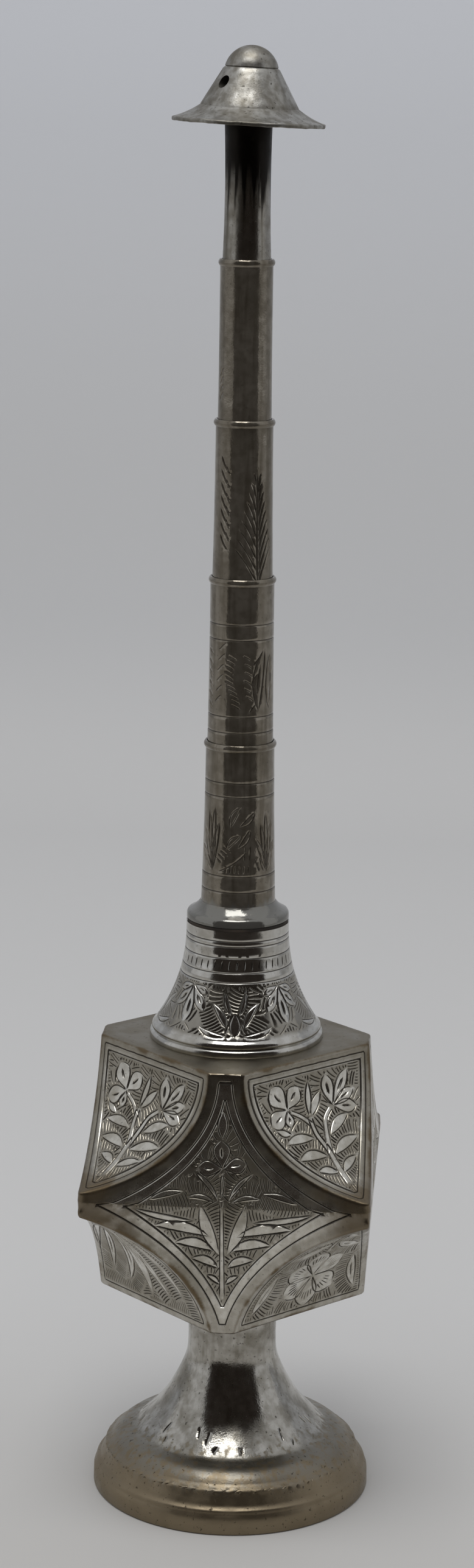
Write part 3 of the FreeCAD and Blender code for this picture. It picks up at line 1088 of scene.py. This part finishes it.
def firstTube(design):
    # fans of leaves left and right, a curved stalk with upright ticks, and small leaves between them
    ringCuts(design, tubes["middles"][0], (24.0, 21.3, 5.9, 2.8), neckGraver["ring"])
    for left, right in bothSides(0):
        frond(design, left, (-5, 6.7), ((-8.8, 11.5), (-7.8, 15), (-6.2, 18.6), (-4.6, 19.8), (-3.4, 16.6)))
        strokes(design, inRow((left - 4.4, 9.6), (0.6, 0.7), 4), (1.6, -1.1), 0.08, "tick")
        frond(design, right, (6.4, 6.6), ((3.6, 13.6), (4.8, 16.4), (6.2, 18.8), (7.8, 16.6), (9.0, 12.5)))
        strokes(design, inRow((right + 4.6, 6.8), (1.0, 0), 2), (-1.0, 3.0), 0.1, "tick")
    cut(design, bowed((-4.0, 6.6), (2.2, 11.0), -0.5), neckGraver["blade"])
    strokes(design, inRow((-2.0, 6.5), (0.85, 0), 6), (0.15, 1.7), 0.04, "tick")
    strokes(design, inRow((1.6, 8.8), (1.0, 0), 2), (0.2, 3.4), 0.06, "tick")
    leaves(design, (((-1.9, 11.2), (0.9, 14.0), 0.4, 0.5), ((0.3, 11.4), (2.7, 15.2), -0.4, 0.5),
                    ((-1.2, 15.4), (0.9, 19.6), 0.5, 0.55), ((0.6, 15.6), (3.6, 18.6), -0.4, 0.5)))


def secondTube(design):
    # two feathers, a large pointed leaf and loose strokes, twice round the tube
    ringCuts(design, tubes["middles"][1], (24.2, 21.3, 6.7, 3.6), neckGraver["ring"])
    for left, right in bothSides(1):
        spine = ((-0.6, 8.2), (-0.6, 9.6), (-1.3, 11.8), (-1.9, 13.8), (-1.8, 16.0), (-1.1, 18.4))
        feather(design, moved(spine, left), 11, (1.9, -0.9))
        strokes(design, inRow((left - 7.6, 9.4), (0, 2.0), 6), (1.9, -1.5), 0.12, "tick")
        strokes(design, inRow((left - 5.2, 9.4), (0.2, 2.0), 6), (1.7, 1.5), 0.12, "tick")
        feather(design, moved(((2.3, 9.6), (1.6, 12.4), (1.9, 15.4), (1.4, 18.8)), right), 6, (1.7, -1.0))
        strokes(design, moved(((2.4, 13.2), (2.8, 16.4), (2.0, 7.4)), right), (1.5, 1.9), 0.12, "blade")
        leaf(design, (right + 3.9, 7.8), (right + 5.4, 20.0), 0.8, 1.1, True)
        leaf(design, (right + 6.6, 8.0), (right + 6.9, 18.6), 0.3, 0.7)


palm = {"blades": 9, "place": 3.2, "foot": 0.5, "stalk": 22.0, "sway": 0.1, "first": 0.8, "step": 2.05,
        "rise": (6.6, 4.2), "left": (4.5, 0.9), "right": (3.3, 0.7), "start": 0.2, "bow": 0.25}
palmTick = {"reach": 0.7, "foot": 1.0, "tip": 0.9, "bow": 0.2}


def palmTree(design, middle):
    start, bow, sway = palm["start"], palm["bow"], palm["sway"]
    stalk = bowed((middle, palm["foot"]), (middle - sway, palm["stalk"]), sway, 12)
    cut(design, stalk, neckGraver["blade"])
    for i in range(palm["blades"]):
        share = i / (palm["blades"] - 1)
        low = palm["first"] + palm["step"] * i
        rise, left, right = (
            palm[key][0] + (palm[key][1] - palm[key][0]) * share for key in ("rise", "left", "right")
        )
        cut(design, bowed((middle - start, low), (middle - left, low + rise), -bow), neckGraver["blade"])
        cut(design, bowed((middle + start, low), (middle + right, low + rise), bow), neckGraver["blade"])
        if share < 1:
            base = (middle + start, low + palmTick["foot"])
            tip = (middle + right * palmTick["reach"], low + palmTick["tip"] + rise)
            cut(design, bowed(base, tip, palmTick["bow"]), neckGraver["tick"])


def thirdTube(design):
    # a tall palm on the right and a row of slanting strokes on the left, twice round the tube
    for left, right in bothSides(2):
        palmTree(design, palm["place"] + right)
        strokes(design, inRow((left - 4.4, 24.4), (0, -2.45), 7), (1.9, -3.0), -0.2, "blade")
        strokes(design, inRow((left - 3.1, 22.6), (0, -2.45), 6), (0.9, -1.7), -0.1, "tick")


def fourthTube(design):
    strokes(design, inRow((-5.6, 4.8), (0.05, 1.5), 4), (1.2, 1.8), 0.1, "tick")


tubeWork = (firstTube, secondTube, thirdTube, fourthTube, None)
for index, work in enumerate(tubeWork):
    design = newDesign()
    if work:
        work(design)
    gauge, step = tubes["middles"][index], tubes["step"]
    piece = engraveOnLathe(f"tube{index + 1}", tubeInside(index), tubeCurve(index), design, gauge, step)
    finishPiece(piece, tubeNames[index], "neck")

bead = {"bores": [radius + tubes["gap"] for radius in tubes["feet"][1:]], "round": 0.3, "steps": 8}
for index, bore in enumerate(bead["bores"]):
    node = f"bead_ring_{index + 1}"
    low, high, wide = level(node, False), level(node, True), width(node)
    inner = wide - bead["round"]
    crown = arcAlong((inner, low), (wide, (low + high) / 2), (inner, high), bead["steps"])
    piece = turnOnLathe(f"bead{index + 1}", [(bore, low)] + crown + [(bore, high)])
    finishPiece(piece, node, "neck")
print("collar, tubes and beads done")


# Cap: a hat with two spray holes, a little crooked on the neck

cap = {"brim": 14.1, "foot": neckTop - 1.0, "edge": 0.7, "lip": 0.1, "droop": (0.15, 0.2), "sweepSteps": 16,
       "groove": (9.15, 3.1), "grooveLines": ((-0.08, 0.02), (-0.2, 0.3)), "cone": (5.15, 10.1),
       "coneEdge": (0.05, -0.2), "neck": (4.9, 10.35), "height": 14.2, "crownSteps": 14,
       "flankStep": 0.8, "wall": 1.3, "vault": (2.4, 1.0), "cavity": 7.0, "flange": 8.0, "seat": 1.0,
       "ledge": 1.2, "lean": 2.6, "rest": 4.42, "hole": 1.15, "holeSides": 40, "holeHeight": 7.4,
       "holeTurn": -134.0, "fray": 0.032, "frayWidth": 1.2, "frayTop": 1.1,
       "ripples": ((11, 0, 1), (23, 1.3, 1), (41, 0.4, 0.8))}


def capProfile():
    brim, edge, lip, wall, top = (cap[part] for part in ("brim", "edge", "lip", "wall", "height"))
    groove, cone, neck = cap["groove"], cap["cone"], cap["neck"]
    middle = ((brim + groove[0]) / 2 - cap["droop"][0], (edge + groove[1]) / 2 - cap["droop"][1])
    sweep = arcAlong((brim - lip, edge), middle, groove, cap["sweepSteps"])
    rise = neck[1] - top
    radius = (neck[0] ** 2 + rise ** 2) / (-2 * rise)
    steps = cap["crownSteps"]
    turns = [math.asin(neck[0] / radius) * (1 - i / steps) for i in range(steps + 1)]
    crown = [(radius * math.sin(turn), top - radius * (1 - math.cos(turn))) for turn in turns]
    lines = moved(cap["grooveLines"], *groove)
    flank = spaced([lines[-1], *moved([cap["coneEdge"]], *cone)], cap["flankStep"])[1:]
    waist = [(cone[0] - 0.12, cone[1] - 0.05), (neck[0] - 0.14, neck[1] - 0.1)]
    vault = [(0, top - wall), (cap["vault"][0], top - wall - cap["vault"][1]),
             (neck[0] - wall, neck[1] - wall)]
    ledge = cap["seat"] + cap["ledge"]
    under = [(cap["cavity"], ledge), (cap["flange"], ledge), (cap["flange"], cap["seat"]),
             (brim - edge, 0.0), (brim - lip, 0.02), (brim, 0.2), (brim, edge - 0.15)]
    return moved(sweep + lines + flank + waist + crown + vault + under, 0, cap["foot"])


def drillHole(piece, degrees):
    turn = math.radians(degrees)
    middle = Vector((math.cos(turn), math.sin(turn), 0)) * cap["brim"] / 2
    middle.z = cap["foot"] + cap["holeHeight"]
    deselect()
    bpy.ops.mesh.primitive_cylinder_add(
        vertices=cap["holeSides"], radius=cap["hole"] * mm, depth=cap["brim"] * mm,
        location=middle * mm, rotation=(math.pi / 2, 0, turn + math.pi / 2))
    drill = bpy.context.object
    applyModifier(piece, "BOOLEAN", object=drill, operation="DIFFERENCE", solver="EXACT")
    bpy.data.objects.remove(drill)


def makeCap():
    piece = turnOnLathe("cap", capProfile())
    for degrees in (cap["holeTurn"], cap["holeTurn"] + 180):
        drillHole(piece, degrees)
    # the brim's edge is a little ragged
    for vertex in piece.data.vertices:
        reach = math.hypot(vertex.co.x, vertex.co.y) / mm - cap["brim"] + cap["frayWidth"]
        if reach > 0 and vertex.co.z / mm < cap["foot"] + cap["frayTop"]:
            turn = math.atan2(vertex.co.y, vertex.co.x)
            ragged = sum(tall * math.sin(count * turn + shift) for count, shift, tall in cap["ripples"])
            vertex.co.z += ragged * cap["fray"] * reach / cap["frayWidth"] * mm
    lean = math.radians(cap["lean"])
    pivot = Matrix.Translation((0, 0, neckTop * mm))
    lift = Matrix.Translation((0, 0, cap["rest"] * math.sin(lean) * mm))
    piece.data.transform(lift @ pivot @ Matrix.Rotation(lean, 4, "Y") @ pivot.inverted())
    closeMesh(piece)
    return piece


finishPiece(makeCap(), "sprinkler_cap", "cap")


# Materials: worn plate over brass, with tarnish from shared masks

def addNode(nodes, kind, inputs=None, **settings):
    node = nodes.nodes.new(kind)
    for name, value in settings.items():
        setattr(node, name, value)
    for name, value in (inputs or {}).items():
        if isinstance(value, bpy.types.NodeSocket):
            nodes.links.new(value, node.inputs[name])
        else:
            node.inputs[name].default_value = value
    return node


def spread(nodes, value, low, high):
    inputs = {0: value, 1: low, 2: high}
    return addNode(nodes, "ShaderNodeMapRange", inputs, interpolation_type="SMOOTHSTEP").outputs[0]


def combine(nodes, operation, first, second):
    return addNode(nodes, "ShaderNodeMath", {0: first, 1: second}, operation=operation).outputs[0]


def times(nodes, mask, share):
    return combine(nodes, "MULTIPLY", mask, share)


def raised(nodes, value, mask, share):
    # a value with a share of a mask added
    return combine(nodes, "ADD", times(nodes, mask, share), value)


def blend(nodes, share, first, second):
    inputs = {0: share}
    for place, tone in ((6, first), (7, second)):
        inputs[place] = tone if isinstance(tone, bpy.types.NodeSocket) else (*tone, 1)
    return addNode(nodes, "ShaderNodeMix", inputs, data_type="RGBA").outputs[2]


def vectorMath(nodes, operation, first, second=(0, 0, 0)):
    return addNode(nodes, "ShaderNodeVectorMath", {0: first, 1: second}, operation=operation).outputs


def objectPlace(nodes):
    return addNode(nodes, "ShaderNodeTexCoord").outputs["Object"]


def newMaterial(name):
    material = bpy.data.materials.new(name)
    material.use_nodes = True
    material.node_tree.nodes.clear()
    return material, material.node_tree


def showShader(nodes, shader):
    addNode(nodes, "ShaderNodeOutputMaterial", {0: shader.outputs[0]})


# each mask: noise scale, detail, stretch and the range that it is spread over
evenly = (1, 1, 1)
tarnishMasks = {
    "Blotch": (170, 6, evenly, (0.42, 0.66)), "Mottle": (620, 5, evenly, (0.38, 0.66)),
    "Streak": (900, 5, (1, 1, 0.07), (0.45, 0.68)), "Pit": (1500, 3, evenly, (0.63, 0.72)),
    "Grain": (3200, 2, evenly, None), "Wave": (230, 2, evenly, None)}


def makeTarnish():
    # masks from object coordinates, with the height and the distance from the axis beside them
    group = bpy.data.node_groups.new("tarnish", "ShaderNodeTree")
    group.interface.new_socket("Place", in_out="INPUT", socket_type="NodeSocketVector")
    for name in (*tarnishMasks, "Height", "Radius"):
        group.interface.new_socket(name, in_out="OUTPUT", socket_type="NodeSocketFloat")
    place = addNode(group, "NodeGroupInput").outputs["Place"]
    made = {}
    for name, (scale, detail, stretch, reach) in tarnishMasks.items():
        stretched = vectorMath(group, "MULTIPLY", place, stretch)[0]
        inputs = {"Vector": stretched, "Scale": scale, "Detail": detail}
        noise = addNode(group, "ShaderNodeTexNoise", inputs)
        made[name] = spread(group, noise.outputs["Fac"], *reach) if reach else noise.outputs["Fac"]
    made["Height"] = addNode(group, "ShaderNodeSeparateXYZ", {0: place}).outputs["Z"]
    flat = vectorMath(group, "MULTIPLY", place, (1, 1, 0))[0]
    made["Radius"] = vectorMath(group, "LENGTH", flat)["Value"]
    addNode(group, "NodeGroupOutput", made)
    return group


tarnish = makeTarnish()


def maskOutputs(nodes):
    return addNode(nodes, "ShaderNodeGroup", {"Place": objectPlace(nodes)}, node_tree=tarnish).outputs


# how far each mask reaches, and how much roughness it adds
wear = {"blotchRough": 0.25, "groundRough": 0.15, "ragged": 0.8, "margin": (0.1, 0.6), "marginRough": 0.12,
        "cornerShift": 0.002, "corner": 0.85, "cornerRough": 0.12, "edgeShift": 0.22, "dirt": (0.25, 0.85),
        "dirtRough": 0.3, "dirtTone": (0.035, 0.028, 0.022), "bump": 0.0002}


def metal(name, changes):
    look = {**plainLook, **changes}
    material, nodes = newMaterial(name)
    masks = maskOutputs(nodes)
    blotch, mottle, streak, pit = (masks[part] for part in ("Blotch", "Mottle", "Streak", "Pit"))
    cutMask, edgeMask, groundMask = (
        addNode(nodes, "ShaderNodeAttribute", attribute_name=part).outputs["Fac"] for part in layers
    )
    colour = look["plate"]
    for mask, part in ((blotch, "blotches"), (streak, "streaks"), (mottle, "mottle")):
        colour = blend(nodes, times(nodes, mask, look[part]), colour, look["tarnish"])
    colour = blend(nodes, times(nodes, groundMask, look["ground"]), colour, look["field"])
    rough = raised(nodes, look["roughness"], blotch, look["blotches"] * wear["blotchRough"])
    rough = raised(nodes, rough, groundMask, look["ground"] * wear["groundRough"])
    for near, far, tone, shadeRough in look["shades"]:
        height = raised(nodes, masks["Height"], streak, wear["ragged"] * (far - near))
        shade = spread(nodes, height, near, far)
        colour = blend(nodes, shade, colour, tone)
        rough = raised(nodes, rough, shade, shadeRough)
    margin = times(nodes, spread(nodes, edgeMask, *wear["margin"]), look["margin"])
    colour = blend(nodes, margin, colour, look["field"])
    rough = raised(nodes, rough, margin, wear["marginRough"])
    if "corners" in look:
        radius = raised(nodes, masks["Radius"], blotch, wear["cornerShift"])
        corner = spread(nodes, radius, *look["corners"])
        colour = blend(nodes, times(nodes, corner, wear["corner"]), colour, look["brass"])
        rough = raised(nodes, rough, corner, wear["cornerRough"])
    worn = combine(nodes, "ADD", edgeMask, times(nodes, blotch, wear["edgeShift"]))
    colour = blend(nodes, spread(nodes, worn, *look["wear"]), colour, look["brass"])
    dirt = combine(nodes, "MAXIMUM", times(nodes, pit, look["pits"]), spread(nodes, cutMask, *wear["dirt"]))
    colour = blend(nodes, times(nodes, dirt, look["fill"]), colour, wear["dirtTone"])
    rough = raised(nodes, rough, dirt, wear["dirtRough"])
    bump = None
    for part, strength in (("Wave", look["waves"]), ("Grain", look["grain"])):
        inputs = {"Height": masks[part], "Strength": strength, "Distance": wear["bump"]}
        if bump:
            inputs["Normal"] = bump.outputs[0]
        bump = addNode(nodes, "ShaderNodeBump", inputs)
    showShader(nodes, addNode(nodes, "ShaderNodeBsdfPrincipled", {
        "Base Color": colour, "Metallic": look["metallic"], "Roughness": rough, "Normal": bump.outputs[0]}))
    return material


# a near-black, rough finish with a blotchy tone, for the washer in the seam between bell and collar
darkWasherTones = ((0.022, 0.016, 0.011), (0.045, 0.032, 0.022))


def darkWasherFinish(name):
    material, nodes = newMaterial(name)
    colour = blend(nodes, maskOutputs(nodes)["Blotch"], *darkWasherTones)
    showShader(nodes, addNode(nodes, "ShaderNodeBsdfPrincipled", {"Base Color": colour, "Roughness": 0.75}))
    return material


# each look says what it changes in the plain one; a shade is a start, an end, a tone and added roughness
plainLook = {
    "brass": (0.30, 0.22, 0.14), "field": (0.3, 0.28, 0.23), "blotches": 0.6, "streaks": 0.35,
    "mottle": 0.35, "ground": 0.3, "wear": (0.7, 1.1), "margin": 0.0, "pits": 0.35, "fill": 0.85,
    "grain": 0.08, "waves": 0.8, "metallic": 1.0, "shades": ()}
vesselLook = {
    "plate": (0.68, 0.66, 0.60), "tarnish": (0.32, 0.29, 0.225), "brass": (0.155, 0.118, 0.072),
    "field": (0.22, 0.195, 0.148), "blotches": 0.5, "streaks": 0.2, "ground": 0.68, "roughness": 0.18,
    "wear": (0.84, 1.14), "margin": 0.75, "fill": 0.93, "grain": 0.03, "waves": 0.45,
    "corners": (0.0317, 0.0366)}
# painted light: the lower half gets a lighter copy of the vessel's plate, with lighter margins and ground,
# standing for the brighter look of its downward facets
lowerLitLook = {**vesselLook, "plate": (0.74, 0.72, 0.66), "margin": 0.42, "ground": 0.62}
vesselPlate = metal("vesselPlate", vesselLook)
lowerLitPlate = metal("lowerLitPlate", lowerLitLook)
brightPlate = metal("brightPlate", {
    "plate": (0.60, 0.59, 0.555), "tarnish": (0.30, 0.28, 0.235), "brass": (0.34, 0.26, 0.17),
    "field": (0.25, 0.23, 0.19), "blotches": 0.35, "streaks": 0.15, "mottle": 0.3, "ground": 0.7,
    "roughness": 0.11, "fill": 0.88, "grain": 0.03, "waves": 0.35})
footPlate = metal("footPlate", {
    "plate": (0.50, 0.485, 0.445), "tarnish": (0.17, 0.152, 0.115), "brass": (0.34, 0.26, 0.17),
    "field": (0.40, 0.38, 0.34), "ground": 0.5, "roughness": 0.13, "pits": 0.7, "grain": 0.09, "waves": 0.5,
    "shades": [(0.0130, 0.0112, (0.25, 0.235, 0.20), 0.2), (0.0116, 0.0060, (0.26, 0.212, 0.143), 0.05)]})
neckPlate = metal("neckPlate", {
    "plate": (0.275, 0.248, 0.205), "tarnish": (0.12, 0.102, 0.074), "blotches": 0.45, "streaks": 0.6,
    "mottle": 0.45, "roughness": 0.1, "pits": 0.5, "fill": 0.65, "metallic": 0.8,
    "shades": [(0.1203, 0.1188, (0.23, 0.225, 0.205), -0.03)]})
# tube 5: the near-black band at its top, with a ragged lower edge, is painted shade under the cap's brim
topPlate = metal("topPlate", {
    "plate": (0.36, 0.345, 0.31), "tarnish": (0.17, 0.152, 0.12), "streaks": 0.7, "mottle": 0.4,
    "roughness": 0.24, "pits": 0.45, "shades": [(0.2520, 0.2595, (0.018, 0.016, 0.014), 0.15)]})
capPlate = metal("capPlate", {
    "plate": (0.42, 0.41, 0.38), "tarnish": (0.15, 0.135, 0.105), "blotches": 0.7, "streaks": 0.4,
    "mottle": 0.55, "roughness": 0.35, "pits": 0.8, "grain": 0.1})
bareBrass = metal("bareBrass", {
    "plate": (0.52, 0.38, 0.19), "tarnish": (0.30, 0.20, 0.10), "brass": (0.52, 0.38, 0.19),
    "field": (0.3, 0.2, 0.1), "streaks": 0.2, "mottle": 0.2, "ground": 0.0, "roughness": 0.28, "pits": 0.3,
    "fill": 0.7, "waves": 0.2})
darkWasherMaterial = darkWasherFinish("darkWasherMaterial")


def dress(piece, material):
    piece.data.materials.clear()
    piece.data.materials.append(material)


pieceMaterials = {"vesselUpper": vesselPlate, "vesselLower": lowerLitPlate, "footShell": footPlate,
                  "bell": brightPlate, "tube5": topPlate, "cap": capPlate}
for piece in pieces:
    dress(piece, pieceMaterials.get(piece.name, neckPlate))
for node in ("foot_rivet", "threaded_socket", "threaded_spigot", "cap_spigot"):
    dress(bpy.data.objects[node], bareBrass)
dress(bpy.data.objects["seal_washer"], darkWasherMaterial)
print("materials done")


# Stage: a pale sheet that sweeps up behind, soft light, and a dark room that only the metal mirrors

stage = {"turn": 0.55, "sweep": 0.25, "sweepSteps": 16, "top": 1.3, "wide": 3.2, "rough": 0.85,
         "smoothBelow": 60, "floor": (0.63, 0.625, 0.615), "sky": (0.98, 0.99, 1.02), "skyStrength": 0.57}
# painted shading laid over the floor's tone: darker towards the front, darker where the sheet starts to
# bend up, lighter and bluer up the sweep; the axis and the reach along which each comes in
paintedSheetShading = (("Y", 0.12, -0.12, (0.53, 0.515, 0.49)), ("Z", 0.0, 0.06, (0.55, 0.55, 0.55)),
              ("Z", 0.08, 0.32, (0.70, 0.715, 0.75)))
room = {"near": (-0.24, 0.37, -0.20), "far": (-0.72, 1.12, -0.60), "floor": 0.0005, "height": 1.38,
        "tone": (0.030, 0.025, 0.022)}
lampLook = {"place": (-0.07, -0.27, 1.2), "aim": (0, 0, 0.1), "energy": 5, "size": 0.6}


def stageMesh(name, points, faces):
    deselect()
    bpy.ops.mesh.primitive_plane_add(size=1)
    piece = bpy.context.object
    piece.name = name
    piece.data.clear_geometry()
    piece.data.from_pydata(points, [], faces)
    return piece


def makeSheet():
    turn, sweep, wide, steps = (stage[part] for part in ("turn", "sweep", "wide", "sweepSteps"))
    angles = [i * math.pi / (2 * steps) for i in range(steps + 1)]
    bend = [(turn + sweep * math.sin(angle), sweep * (1 - math.cos(angle))) for angle in angles]
    profile = [(-wide, 0)] + bend + [(turn + sweep, stage["top"]), (wide, 0)]
    points = [(x, y, z) for y, z in profile for x in (-wide, wide)]
    last = len(points) - 2
    faces = [[2 * i, 2 * i + 1, 2 * i + 3, 2 * i + 2] for i in range(len(profile) - 2)]
    sheet = stageMesh("sheet", points, faces + [[2, 3, last + 1, last]])
    smoothShade(sheet, stage["smoothBelow"])
    material, nodes = newMaterial("paleSheet")
    axes = addNode(nodes, "ShaderNodeSeparateXYZ", {0: objectPlace(nodes)}).outputs
    tone = stage["floor"]
    # painted shading on the pale sheet, laid over the floor's tone one after another
    for axis, near, far, laid in paintedSheetShading:
        tone = blend(nodes, spread(nodes, axes[axis], near, far), tone, laid)
    paper = addNode(nodes, "ShaderNodeBsdfPrincipled", {"Base Color": tone, "Roughness": stage["rough"]})
    clear = addNode(nodes, "ShaderNodeBsdfTransparent")
    # from behind, the sheet lets the part be seen
    behind = addNode(nodes, "ShaderNodeNewGeometry").outputs["Backfacing"]
    inputs = {0: behind, 1: paper.outputs[0], 2: clear.outputs[0]}
    showShader(nodes, addNode(nodes, "ShaderNodeMixShader", inputs))
    dress(sheet, material)


def makeDarkRoom():
    # what the metal mirrors in front of it: dark floor beyond the sheet's light part, and a dark wall
    (left, right, near), (farLeft, farRight, far) = room["near"], room["far"]
    low, high = room["floor"], room["height"]
    points = [(left, near, low), (right, near, low), (farRight, far, low), (farLeft, far, low),
              (farRight, far, high), (farLeft, far, high)]
    dark = stageMesh("darkRoom", points, [(0, 1, 2, 3), (3, 2, 4, 5)])
    dark.visible_camera = dark.visible_diffuse = dark.visible_shadow = False
    material, nodes = newMaterial("darkRoom")
    showShader(nodes, addNode(nodes, "ShaderNodeEmission", {"Color": (*room["tone"], 1)}))
    dress(dark, material)


def makeLights():
    world = bpy.data.worlds.new("paleRoom")
    bpy.context.scene.world = world
    world.use_nodes = True
    background = world.node_tree.nodes["Background"]
    background.inputs["Color"].default_value = (*stage["sky"], 1)
    background.inputs["Strength"].default_value = stage["skyStrength"]
    deselect()
    bpy.ops.object.light_add(type="AREA", location=lampLook["place"])
    lamp = bpy.context.object
    lamp.name = "softLamp"
    lamp.data.energy = lampLook["energy"]
    lamp.data.size = lampLook["size"]
    lamp.rotation_euler = (Vector(lampLook["aim"]) - lamp.location).to_track_quat("-Z", "Y").to_euler()


makeSheet()
makeDarkRoom()
makeLights()
print("stage done")


# Camera at the photograph's viewing angle

view = {"distance": 0.613, "height": 0.278, "azimuth": 4.2, "pitch": 12.5, "yaw": 4.5 / 5400, "roll": 0.78,
        "lens": 75.47, "sensor": 36, "nearest": 0.01}


def placeCamera():
    turn, pitch, roll = (math.radians(view[name]) for name in ("azimuth", "pitch", "roll"))
    bpy.ops.object.camera_add()
    camera = bpy.context.object
    camera.data.lens = view["lens"]
    camera.data.sensor_fit = "AUTO"
    camera.data.sensor_width = view["sensor"]
    camera.data.clip_start = view["nearest"]
    away = view["distance"]
    place = Matrix.Translation((away * math.sin(turn), -away * math.cos(turn), view["height"]))
    look = Matrix.Rotation(turn + view["yaw"], 4, "Z") @ Matrix.Rotation(math.pi / 2 - pitch, 4, "X")
    camera.matrix_world = place @ look @ Matrix.Rotation(roll, 4, "Z")
    bpy.context.scene.camera = camera


placeCamera()
bpy.context.scene.view_settings.view_transform = "Standard"
